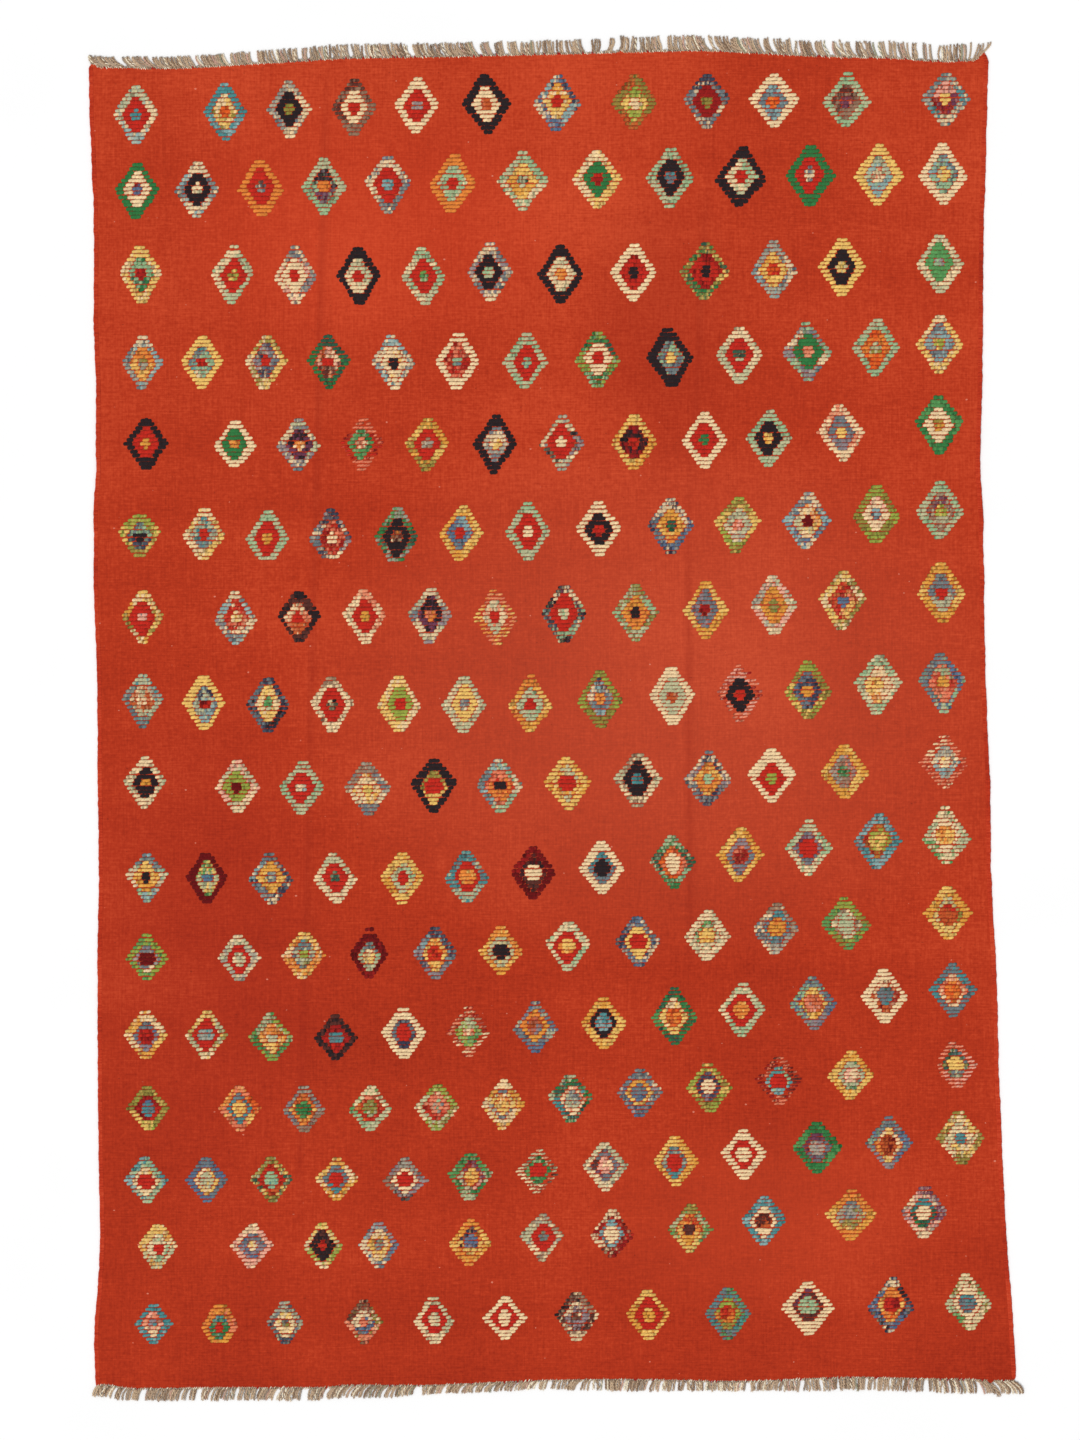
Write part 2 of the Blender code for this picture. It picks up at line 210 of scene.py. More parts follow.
@dataclass(frozen=True)
class Crease:
    """A soft ridge that an old fold has left down the length of the cloth."""

    far_across: float
    near_across: float
    height: float
    half_width: float
    near_along: float
    far_along: float
    wander: float = 0.004
    bends: float = 7.3  # how fast it wanders, in radians a metre
    waves: float = 4.1  # how fast its height changes, in radians a metre
    unevenness: float = 0.25
    fade: float = 0.25  # how long its two ends are

    def lift(self, across: Array, along: Array) -> Array:
        """Raise the cloth along the crease.

        Args:
            across: Places across the rug.
            along: The same places along it.

        Returns:
            How high the crease holds the cloth off the floor there.
        """
        share = (along + HALF_LENGTH) / (2 * HALF_LENGTH)
        middle = self.near_across + share * (self.far_across - self.near_across)
        middle = middle + self.wander * np.sin(along * self.bends + self.far_across * 9)
        fade = np.clip((along - self.near_along) / self.fade, 0, 1)
        fade = fade * np.clip((self.far_along - along) / self.fade, 0, 1)
        uneven = np.sin(along * self.waves + self.near_across * 5)
        uneven = 1 - self.unevenness + self.unevenness * uneven
        bell = np.exp(-(((across - middle) / self.half_width) ** 2))
        return self.height * uneven * bell * fade**2 * (3 - 2 * fade)


@dataclass(frozen=True)
class Swell:
    """A low, wide rise where the cloth lies a little loose on the floor."""

    across: float
    along: float
    half_width: float
    half_length: float
    height: float

    def lift(self, across: Array, along: Array) -> Array:
        """Raise the cloth round the swell.

        Args:
            across: Places across the rug.
            along: The same places along it.

        Returns:
            How high the swell holds the cloth off the floor there.
        """
        far_out = ((across - self.across) / self.half_width) ** 2
        far_out = far_out + ((along - self.along) / self.half_length) ** 2
        return self.height * np.exp(-far_out)


@dataclass(frozen=True)
class ClothLie:
    """How the cloth lies: two soft lengthwise creases and a few loose swells."""

    creases: tuple[Crease, ...] = (
        Crease(-0.496, -0.566, 0.0034, 0.020, -1.40, 1.42),
        Crease(0.325, 0.280, 0.0028, 0.020, -1.06, 1.30),
    )
    swells: tuple[Swell, ...] = (
        Swell(-0.80, -0.75, 0.20, 0.34, 0.0014),
        Swell(0.12, 0.55, 0.22, 0.40, 0.0012),
        Swell(0.70, -0.30, 0.18, 0.45, 0.0013),
        Swell(-0.15, -0.95, 0.30, 0.25, 0.0010),
        Swell(0.95, 0.72, 0.09, 0.30, 0.0011),
        Swell(-1.00, 0.48, 0.08, 0.26, 0.0012),
    )

    def lift(self, across: Array, along: Array) -> Array:
        """Return how high the cloth's underside is off the floor."""
        across, along = np.broadcast_arrays(across, along)
        return sum(form.lift(across, along) for form in (*self.creases, *self.swells))


# ------------------------------------------------------------
# Yarns and finishes


def linear(red: int, green: int, blue: int) -> Colour:
    """Turn a colour of 0 to 255, as it is seen, into the shader's linear one."""
    seen = np.array((red, green, blue)) / 255
    return tuple(np.where(seen > 0.04045, ((seen + 0.055) / 1.055) ** 2.4, seen / 12.92))


class Yarn(Enum):
    """The dyed yarns of the brocade, by the colour that they look, from 0 to 255."""

    CREAM = (241, 209, 161)
    YELLOW = (238, 192, 104)
    GOLD = (224, 154, 62)
    ORANGE = (228, 132, 56)
    FLAME = (224, 88, 32)
    SALMON = (230, 128, 94)
    PINK = (238, 168, 143)
    RED = (194, 41, 28)
    CRIMSON = (150, 28, 26)
    BURGUNDY = (104, 16, 18)
    RUST = (197, 90, 43)
    BROWN = (92, 48, 40)
    BLACK = (40, 32, 34)
    MINT = (153, 182, 137)
    SAGE = (190, 186, 145)
    TAUPE = (150, 116, 92)
    LEAF = (88, 148, 84)
    GREEN = (49, 117, 63)
    DARK_GREEN = (50, 86, 68)
    LIME = (152, 164, 68)
    OLIVE = (142, 128, 58)
    TEAL = (73, 137, 138)
    SKY = (140, 170, 167)
    BLUE = (89, 110, 137)
    SLATE = (108, 118, 121)
    NAVY = (58, 58, 76)
    LILAC = (147, 129, 131)
    PLUM = (110, 60, 80)
    GREY = (164, 157, 139)

    @property
    def colour(self) -> Colour:
        """The yarn's linear colour."""
        return linear(*self.value)


class WarpTone(Enum):
    """The undyed wools of the warp, by the colour that they look, from 0 to 255."""

    TAUPE = (190, 163, 136)
    FAWN = (204, 177, 146)
    BROWN = (152, 124, 100)
    GREY = (168, 149, 130)
    IVORY = (242, 228, 202)
    ROSE = (204, 164, 144)
    SAGE = (160, 156, 130)

    @property
    def colour(self) -> Colour:
        """The wool's linear colour."""
        return linear(*self.value)


class Axis(Enum):
    """The two ways over the rug, as the numbers of their coordinates."""

    ACROSS = 0
    ALONG = 1


class NodeSketch:
    """A material's nodes, laid with short calls for what the wools need.

    Each call adds a node and returns the socket that carries its result. Patterns are read
    in object coordinates, which are the rug's own metres.
    """

    BUMP_STRENGTH = 0.6

    def __init__(self, name: str) -> None:
        """Start a material with a Principled shader.

        Args:
            name: The material's name.
        """
        self.material = bpy.data.materials.new(name)
        self.material.use_nodes = True
        self.tree = self.material.node_tree
        self.shader = self.tree.nodes["Principled BSDF"]
        self.place = self.tree.nodes.new("ShaderNodeTexCoord").outputs["Object"]

    def fill(self, node: bpy.types.Node, inputs: dict[str | int, object]) -> None:
        """Link or set a node's inputs.

        Args:
            node: The node.
            inputs: For each input's name or number, a socket to link or a value to set.
        """
        for key, value in inputs.items():
            if isinstance(value, Socket):
                self.tree.links.new(value, node.inputs[key])
            else:
                node.inputs[key].default_value = value

    def noise(self, stretch: Colour, detail: float = 2.0, shift: float = 0.0) -> Socket:
        """Lay a noise pattern.

        Args:
            stretch: How many features there are to a metre across, along and up.
            detail: How many finer layers it has.
            shift: How far it is moved, so that like patterns differ.

        Returns:
            The pattern, from 0 to 1 and mostly near one half.
        """
        mapping = self.tree.nodes.new("ShaderNodeMapping")
        self.fill(mapping, {"Vector": self.place, "Scale": stretch, "Location": (shift, shift, 0)})
        texture = self.tree.nodes.new("ShaderNodeTexNoise")
        self.fill(texture, {"Vector": mapping.outputs[0], "Scale": 1.0, "Detail": detail})
        return texture.outputs["Fac"]

    def coordinate(self, axis: Axis) -> Socket:
        """Read one coordinate.

        Args:
            axis: Which way it is measured.

        Returns:
            The place that way, in metres.
        """
        node = self.tree.nodes.new("ShaderNodeSeparateXYZ")
        self.fill(node, {0: self.place})
        return node.outputs[axis.value]

    def math(self, operation: str, *values: object) -> Socket:
        """Lay a Math node.

        Args:
            operation: What it does.
            values: The sockets or numbers that it does it to.

        Returns:
            Its result.
        """
        node = self.tree.nodes.new("ShaderNodeMath")
        node.operation = operation
        self.fill(node, dict(enumerate(values)))
        return node.outputs[0]

    def distance(self, value: Socket, other: object) -> Socket:
        """Return how far apart two values are."""
        return self.math("ABSOLUTE", self.math("SUBTRACT", value, other))

    def spread(self, value: Socket, low: float, high: float,
               to_low: float = 0.0, to_high: float = 1.0) -> Socket:
        """Map a value's range to another, with both its ends clamped.

        Args:
            value: The value.
            low: What is read as the new range's low end.
            high: What is read as its high end.
            to_low: The new range's low end.
            to_high: The new range's high end.

        Returns:
            The mapped value.
        """
        node = self.tree.nodes.new("ShaderNodeMapRange")
        self.fill(node, dict(enumerate((value, low, high, to_low, to_high))))
        return node.outputs[0]

    def ramp(self, value: Socket, stops: tuple[tuple[float, Colour], ...]) -> Socket:
        """Turn a value into a colour.

        Args:
            value: The value, from 0 to 1.
            stops: The colours and where they stand.

        Returns:
            The colour.
        """
        node = self.tree.nodes.new("ShaderNodeValToRGB")
        elements = node.color_ramp.elements
        while len(elements) < len(stops):
            elements.new(0.5)
        for element, (position, colour) in zip(elements, stops):
            element.position = position
            element.color = (*colour, 1.0)
        self.fill(node, {0: value})
        return node.outputs[0]

    def blend(self, share: object, first: object, second: object) -> Socket:
        """Mix two colours.

        Args:
            share: How much of the second colour there is.
            first: The first colour.
            second: The second colour.

        Returns:
            The mixed colour.
        """
        node = self.tree.nodes.new("ShaderNodeMix")
        node.data_type = "RGBA"
        colours = [(*c, 1.0) if isinstance(c, tuple) else c for c in (first, second)]
        self.fill(node, {0: share, 6: colours[0], 7: colours[1]})
        return node.outputs[2]

    def scale(self, colour: Socket, factor: Socket) -> Socket:
        """Make a colour lighter or darker.

        Args:
            colour: The colour.
            factor: What it is multiplied by.

        Returns:
            The new colour.
        """
        node = self.tree.nodes.new("ShaderNodeVectorMath")
        node.operation = "SCALE"
        self.fill(node, {0: colour, "Scale": factor})
        return node.outputs[0]

    def bump(self, height: Socket, distance: float) -> Socket:
        """Turn a height into a normal.

        Args:
            height: The height, from 0 to 1.
            distance: How high a height of 1 is, in metres.

        Returns:
            The normal.
        """
        node = self.tree.nodes.new("ShaderNodeBump")
        self.fill(node, {"Height": height, "Distance": distance, "Strength": self.BUMP_STRENGTH})
        return node.outputs[0]


class Finish:
    """A finish that every piece of its kind shares, as one material."""

    name = "finish"
    roughness = 0.92
    sheen = 0.05

    SHEEN_ROUGHNESS = 0.5
    SPECULAR = 0.1

    def paint(self, sketch: NodeSketch) -> tuple[Socket, Socket]:
        """Lay the finish's nodes, and return its colour and its normal."""
        raise NotImplementedError

    def material(self) -> bpy.types.Material:
        """Make the finish's material the first time, and find it after that.

        Returns:
            The material.
        """
        found = bpy.data.materials.get(self.name)
        if found:
            return found
        sketch = NodeSketch(self.name)
        colour, normal = self.paint(sketch)
        sketch.fill(sketch.shader, {
            "Base Color": colour,
            "Normal": normal,
            "Roughness": self.roughness,
            "Sheen Weight": self.sheen,
            "Sheen Roughness": self.SHEEN_ROUGHNESS,
            "Specular IOR Level": self.SPECULAR,
        })
        return sketch.material


@dataclass(frozen=True)
class DyePatch:
    """A wide soft patch where the red is faded or deeper."""

    across: float
    along: float
    half_width: float
    half_length: float
    colour: Colour
    share: float  # of this colour in its middle

    def blend(self, sketch: NodeSketch, colour: Socket) -> Socket:
        """Lay the patch over a colour.

        Args:
            sketch: The material.
            colour: The colour under the patch.

        Returns:
            The colour with the patch.
        """
        far_out = 0.0
        for axis, middle, reach in (
            (Axis.ACROSS, self.across, self.half_width),
            (Axis.ALONG, self.along, self.half_length),
        ):
            place = sketch.coordinate(axis)
            off = sketch.math("MULTIPLY_ADD", place, 1 / reach, -middle / reach)
            far_out = sketch.math("MULTIPLY_ADD", off, off, far_out)
        share = sketch.spread(far_out, 0.0, 1.0, self.share, 0.0)
        return sketch.blend(share, colour, self.colour)


@dataclass(frozen=True)
class CreaseShadeLine:
    """Painted shade: a soft dark line along a crease that an old fold has left in the cloth."""

    far_across: float
    near_across: float
    near_along: float
    far_along: float
    share: float  # of its colour in its middle
    half_width: float = 0.014
    fade: float = 0.20  # how long its two ends take to fade out
    colour: Colour = linear(146, 36, 20)

    def blend(self, sketch: NodeSketch, colour: Socket) -> Socket:
        """Lay the line over a colour.

        Args:
            sketch: The material.
            colour: The colour under the line.

        Returns:
            The colour with the line.
        """
        along = sketch.coordinate(Axis.ALONG)
        lean = (self.far_across - self.near_across) / (2 * HALF_LENGTH)
        middle = sketch.math("MULTIPLY_ADD", along, lean, (self.far_across + self.near_across) / 2)
        off = sketch.distance(sketch.coordinate(Axis.ACROSS), middle)
        share = sketch.spread(off, 0.0, self.half_width, self.share, 0.0)
        for end, inside in (
            (self.near_along, self.near_along + self.fade),
            (self.far_along, self.far_along - self.fade),
        ):
            share = sketch.math("MULTIPLY", share, sketch.spread(along, end, inside))
        return sketch.blend(share, colour, self.colour)


@dataclass(frozen=True)
class Mottle:
    """A pattern that makes a wool lighter here and darker there."""

    stretch: Colour  # how many features there are to a metre across, along and up
    detail: float
    shift: float
    weight: float = 1.0  # how strong it is, where it is added to a lightness

    def pattern(self, sketch: NodeSketch) -> Socket:
        """Return the pattern, from 0 to 1."""
        return sketch.noise(self.stretch, self.detail, self.shift)

    def add(self, sketch: NodeSketch, lightness: object) -> Socket:
        """Return a lightness with the pattern added to it."""
        uneven = sketch.math("SUBTRACT", self.pattern(sketch), 0.5)
        return sketch.math("MULTIPLY_ADD", uneven, self.weight, lightness)


@dataclass(frozen=True)
class Flecks:
    """Small flecks of another colour, where a pattern is near its highest."""

    mottle: Mottle
    rises: tuple[float, float]  # where in the pattern a fleck starts, and where it is full
    share: float  # of the flecks' colour in them
    colour: Colour

    def blend(self, sketch: NodeSketch, colour: Socket) -> Socket:
        """Scatter the flecks over a colour, and return the result."""
        share = sketch.spread(self.mottle.pattern(sketch), *self.rises)
        return sketch.blend(sketch.math("MULTIPLY", share, self.share), colour, self.colour)


@dataclass(frozen=True)
class GroundWool(Finish):
    """The red ground: dyed in uneven lots, ribbed by the warps and streaked by the wefts."""

    name: str = "red_ground_wool"
    reds: tuple[tuple[float, Colour], ...] = (
        (0.12, linear(152, 39, 18)), (0.5, linear(181, 54, 26)), (0.88, linear(208, 76, 42)),
    )  # at how light the wool is, from 0 to 1
    warp_streaks: Mottle = Mottle((290.0, 14.0, 5.0), 1.0, 0.0, 0.33)
    weft_streaks: Mottle = Mottle((22.0, 330.0, 5.0), 1.0, 3.1, 0.46)
    dye_lots: Mottle = Mottle((0.7, 9.0, 0.5), 3.0, 7.7, 0.32)
    blotches: Mottle = Mottle((2.2, 1.6, 0.5), 2.0, 1.3, 0.64)
    grain: Mottle = Mottle((150.0, 150.0, 90.0), 3.0, 5.9, 0.60)
    lengthwise: float = 0.085  # how much lighter the red is, for each metre towards the far end
    bright_wefts: tuple[tuple[float, float], ...] = ((0.282, 0.35), (-0.224, 0.4), (-1.099, 0.5))
    weft_width: float = 0.0016
    weft_gain: float = 0.30  # how much lighter a bright weft is
    breaks: Mottle = Mottle((8.0, 40.0, 1.0), 2.0, 9.2)  # where the bright wefts show
    break_rises: tuple[float, float] = (0.50, 0.66)
    fibres: Mottle = Mottle((420.0, 900.0, 420.0), 2.0, 0.7)
    relief: float = 0.0005
    patches: tuple[DyePatch, ...] = (
        DyePatch(0.25, 0.05, 0.85, 0.60, linear(206, 95, 66), 0.25),
        DyePatch(0.24, 0.85, 0.20, 0.36, linear(150, 38, 20), 0.30),
        DyePatch(-0.78, -0.50, 0.34, 0.62, linear(150, 34, 24), 0.24),
        DyePatch(0.46, -1.10, 0.42, 0.24, linear(208, 76, 44), 0.26),
        DyePatch(-0.42, 1.08, 0.46, 0.30, linear(216, 68, 38), 0.24),
    )
    # painted shade along the creases
    crease_shades: tuple[CreaseShadeLine, ...] = (
        CreaseShadeLine(-0.500, -0.571, -1.15, 1.46, 0.30),
        CreaseShadeLine(0.353, 0.193, 0.40, 1.30, 0.20),
        CreaseShadeLine(0.290, 0.303, -0.60, 0.52, 0.32),
    )
    flecks: tuple[Flecks, ...] = (
        Flecks(Mottle((120.0, 170.0, 60.0), 1.0, 2.2), (0.75, 0.80), 0.4, linear(92, 26, 18)),
        Flecks(Mottle((95.0, 120.0, 60.0), 0.0, 4.4), (0.865, 0.89), 0.7, linear(226, 140, 116)),
    )

    def lightness(self, sketch: NodeSketch) -> Socket:
        """Add up the patterns that vary the red.

        Args:
            sketch: The material.

        Returns:
            How light the red is, from 0 to 1.
        """
        total = sketch.math("MULTIPLY_ADD", sketch.coordinate(Axis.ALONG), self.lengthwise, 0.5)
        for mottle in (
            self.warp_streaks, self.weft_streaks, self.dye_lots, self.blotches, self.grain
        ):
            total = mottle.add(sketch, total)
        return total

    def wefts(self, sketch: NodeSketch) -> Socket:
        """Lay the few brighter wefts that run right across.

        Args:
            sketch: The material.

        Returns:
            How much of one shows.
        """
        broken = sketch.spread(self.breaks.pattern(sketch), *self.break_rises)
        total = 0.0
        for along, strength in self.bright_wefts:
            off = sketch.distance(sketch.coordinate(Axis.ALONG), along)
            line = sketch.spread(off, self.weft_width / 2, self.weft_width, strength, 0.0)
            total = sketch.math("ADD", line, total)
        return sketch.math("MULTIPLY", total, broken)

    def paint(self, sketch: NodeSketch) -> tuple[Socket, Socket]:
        """Lay the finish's nodes.

        Args:
            sketch: The material that they are laid in.

        Returns:
            Its colour and its normal.
        """
        wefts, lightness = self.wefts(sketch), self.lightness(sketch)
        lightness = sketch.math("MULTIPLY_ADD", wefts, self.weft_gain, lightness)
        colour = sketch.ramp(lightness, self.reds)
        for mark in (*self.patches, *self.crease_shades, *self.flecks):
            colour = mark.blend(sketch, colour)
        return colour, sketch.bump(self.fibres.pattern(sketch), self.relief)


@dataclass(frozen=True)
class SelvageWool(Finish):
    """The red of the selvages, wrapped round their cords by the turning wefts."""

    name: str = "red_selvage_wool"
    reds: tuple[tuple[float, Colour], ...] = (
        (0.15, linear(146, 36, 18)), (0.5, linear(186, 54, 28)), (0.85, linear(208, 78, 46)),
    )
    wraps: Mottle = Mottle((60.0, 420.0, 60.0), 2.0, 1.9, 1.1)
    dye_lots: Mottle = Mottle((0.7, 9.0, 0.5), 3.0, 7.7, 0.8)
    relief: float = 0.0008

    def paint(self, sketch: NodeSketch) -> tuple[Socket, Socket]:
        """Lay the finish's nodes.

        Args:
            sketch: The material that they are laid in.

        Returns:
            Its colour and its normal.
        """
        total = self.dye_lots.add(sketch, self.wraps.add(sketch, 0.5))
        colour = sketch.ramp(total, self.reds)
        return colour, sketch.bump(self.wraps.pattern(sketch), self.relief)


@dataclass(frozen=True)
class SpunWool(Finish):
    """Spun yarn in the colours that its mesh carries, paler and darker as it is twisted."""

    name: str = "spun_wool"
    twist: Colour = (420.0, 700.0, 420.0)
    contrast: tuple[float, float, float, float] = (0.28, 0.72, 0.76, 1.12)
    relief: float = 0.0006
    roughness: float = 0.88

    def paint(self, sketch: NodeSketch) -> tuple[Socket, Socket]:
        """Lay the finish's nodes.

        Args:
            sketch: The material that they are laid in.

        Returns:
            Its colour and its normal.
        """
        tones = sketch.tree.nodes.new("ShaderNodeVertexColor")
        tones.layer_name = TONES
        fibres = sketch.noise(self.twist, 2.0)
        factor = sketch.spread(fibres, *self.contrast)
        return sketch.scale(tones.outputs[0], factor), sketch.bump(fibres, self.relief)


@dataclass(frozen=True)
class FloorFinish(Finish):
    """A plain white studio floor with the faintest mottling."""

    name: str = "white_floor"
    roughness: float = 0.8
    sheen: float = 0.0
    whites: tuple[tuple[float, Colour], ...] = ((0.3, (0.97,) * 3), (0.7, (0.99,) * 3))
    relief: float = 0.0001

    def paint(self, sketch: NodeSketch) -> tuple[Socket, Socket]:
        """Lay the finish's nodes, and return its colour and its normal."""
        colour = sketch.ramp(sketch.noise((3.0, 3.0, 3.0), 3.0), self.whites)
        return colour, sketch.bump(sketch.noise((60.0, 60.0, 60.0)), self.relief)


TONES = "Tones"
GROUND_WOOL = GroundWool()
SELVAGE_WOOL = SelvageWool()
BROCADE_WOOL = SpunWool("brocade_wool")
FRINGE_WOOL = SpunWool("undyed_warp_wool", (500.0, 500.0, 500.0))


# ------------------------------------------------------------
# Making pieces


@dataclass
class Forms:
    """Many copies of one small form, ready to be joined into a mesh."""

    points: Array  # copies, points of each, 3
    tones: Array  # copies, points of each, 3
    faces: tuple[tuple[int, ...], ...]  # the faces of one copy

    def joined(self) -> tuple[Array, Array, list[list[int]]]:
        """Join the copies.

        Returns:
            All points, their tones and all faces.
        """
        copies, each = self.points.shape[:2]
        faces = []
        for size in sorted({len(face) for face in self.faces}):
            like = np.array([face for face in self.faces if len(face) == size])
            starts = np.arange(copies)[:, None, None] * each
            faces.extend((starts + like[None]).reshape(-1, size).tolist())
        return self.points.reshape(-1, 3), self.tones.reshape(-1, 3), faces


@dataclass
class Workshop:
    """Where pieces are put together: it knows the rug's place in the frame and how it lies."""

    plan: RugPlan
    lie: ClothLie
    shift: Array

    @classmethod
    def in_frame(cls, plan: RugPlan, lie: ClothLie) -> "Workshop":
        """Open a workshop for the rug where the frame holds it.

        Args:
            plan: The rug's plan.
            lie: How its cloth lies.

        Returns:
            The workshop.
        """
        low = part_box("kilim_ground")[0]
        left = min(out for _, out in plan.left.points)
        near = min(out for _, out in plan.near.points)
        return cls(plan, lie, np.array((low[0] - left, low[1] - near, 0.0)))

    def piece(self, name: str, points: Array, faces: list, finish: Finish,
              slot: str, tones: Array | None = None) -> Piece:
        """Make a piece of the rug that rides on its body.

        Args:
            name: The piece's name.
            points: Its points, in the plan's metres.
            faces: Its faces.
            finish: Its finish.
            slot: Not used.
            tones: Its points' colours, if the finish reads them.

        Returns:
            The piece.
        """
        mesh = bpy.data.meshes.new(name)
        mesh.from_pydata((points + self.shift).tolist(), [], faces)
        mesh.shade_smooth()
        if tones is not None:
            layer = mesh.color_attributes.new(TONES, "FLOAT_COLOR", "POINT")
            rgba = np.concatenate([tones, np.ones((len(tones), 1))], axis=1)
            layer.data.foreach_set("color", rgba.astype(np.float32).ravel())
        mesh.materials.append(finish.material())
        made = bpy.data.objects.new(name, mesh)
        bpy.context.scene.collection.objects.link(made)
        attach(made, "root")
        log.info("%s: %d faces", name, len(faces))
        return made


def smooth_noise(rng: np.random.Generator, at: Array, step: float) -> Array:
    """Return a soft random wave, from -1 to 1, whose turns are a step apart."""
    knots = np.arange(at.min() - step, at.max() + 2 * step, step)
    return smooth_curve(knots, rng.uniform(-1, 1, len(knots)), at)


# ------------------------------------------------------------
# The cloth


@dataclass
class GroundCloth:
    """The red ground: a closed sheet whose two faces are ribbed by the warps."""

    shop: Workshop
    rib_pitch: float = 0.0033
    rib_depth: float = 0.00045
    rib_unevenness: float = 0.16
    rows: int = 40
    end_rows: tuple[float, ...] = (0.0007, 0.004)  # shares of the length at which two more lie
    ribbed_width: float = 1.97  # what the pitch of the ribs is measured on
    inset: float = 0.0045  # the selvages cover its sides
    weft_unevenness: float = 0.00012
    sharp: float = 1.0  # the turn, in radians, that makes an edge sharp
    under_strip: float = 0.03  # the underside's share of the map's height
    map_margin: float = 0.002
    seed: int = 5

    def columns(self, rng: np.random.Generator) -> tuple[Array, Array]:
        """Set out the ribs and the furrows between them.

        Args:
            rng: The random numbers.

        Returns:
            Their shares of the width, and how deep each lies.
        """
        ribs = int(round(self.ribbed_width / self.rib_pitch))
        count = 2 * ribs + 1
        share = np.arange(count) / (count - 1)
        share[1:-1] += rng.uniform(-1, 1, count - 2) * self.rib_unevenness / count
        depth = np.where(np.arange(count) % 2, 0.0, 1.0) * self.rib_depth
        return share, depth * rng.uniform(0.7, 1.3, count)

    def build(self) -> Piece:
        """Weave the sheet.

        Returns:
            The sheet, in the place of the solid ground.
        """
        rng = np.random.default_rng(self.seed)
        share, depth = self.columns(rng)
        length_share = np.linspace(0, 1, self.rows - 2 * len(self.end_rows))
        length_share = np.sort([*length_share, *self.end_rows, *(1 - np.array(self.end_rows))])
        grid = np.meshgrid(share, length_share)
        across, along = self.shop.plan.places(*grid, self.inset)
        lift = self.shop.lie.lift(across, along)
        uneven = rng.uniform(-1, 1, across.shape) * self.weft_unevenness
        top = lift + self.shop.plan.thickness - depth + uneven
        bottom = lift + depth
        points = np.concatenate([
            np.stack([across, along, top], axis=-1).reshape(-1, 3),
            np.stack([across, along, bottom], axis=-1).reshape(-1, 3),
        ])
        made = self.shop.piece(
            "kilim_cloth", points, self.faces(len(share)), GROUND_WOOL, "ground_wool"
        )
        made.data.set_sharp_from_angle(angle=self.sharp)
        self.lay_out_map(made.data, grid)
        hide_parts("kilim_ground")
        return made

    def faces(self, columns: int) -> list[list[int]]:
        """Number the sheet's faces.

        Args:
            columns: How many points there are across it.

        Returns:
            The top's, the underside's and the four walls' faces, in that order.
        """
        number = np.arange(self.rows * columns).reshape(self.rows, columns)
        a, b, c, d = number[:-1, :-1], number[:-1, 1:], number[1:, 1:], number[1:, :-1]
        top = np.stack([a, b, c, d], axis=-1).reshape(-1, 4)
        under = top[:, ::-1] + number.size
        rim = np.concatenate([number[0], number[1:, -1], number[-1, -2::-1], number[-2:0:-1, 0]])
        after = np.roll(rim, -1)
        walls = np.stack([rim + number.size, after + number.size, after, rim], axis=-1)
        return [*top.tolist(), *under.tolist(), *walls.tolist()]

    def lay_out_map(self, mesh: bpy.types.Mesh, grid: list[Array]) -> None:
        """Give the sheet a map that is nearly all top side, with the underside in a strip.

        Args:
            mesh: The sheet.
            grid: Each point's share of the width and of the length.
        """
        strip, margin = self.under_strip, self.map_margin
        wide, long = (part.ravel() for part in grid)
        wide = margin + (1 - 2 * margin) * wide
        upper = np.stack([wide, strip + (1 - margin - strip) * long], axis=-1)
        lower = np.stack([wide, margin + (strip - 3 * margin) * long], axis=-1)
        corners = np.zeros(len(mesh.loops), np.int64)
        mesh.loops.foreach_get("vertex_index", corners)
        under = corners >= len(upper)
        walls = 4 * (2 * (self.rows - 1) * (grid[0].shape[1] - 1))
        under[walls:] = False
        places = np.where(under[:, None], lower[corners % len(upper)], upper[corners % len(upper)])
        layer = mesh.uv_layers.new(name="OFBake")
        layer.data.foreach_set("uv", places.astype(np.float32).ravel())


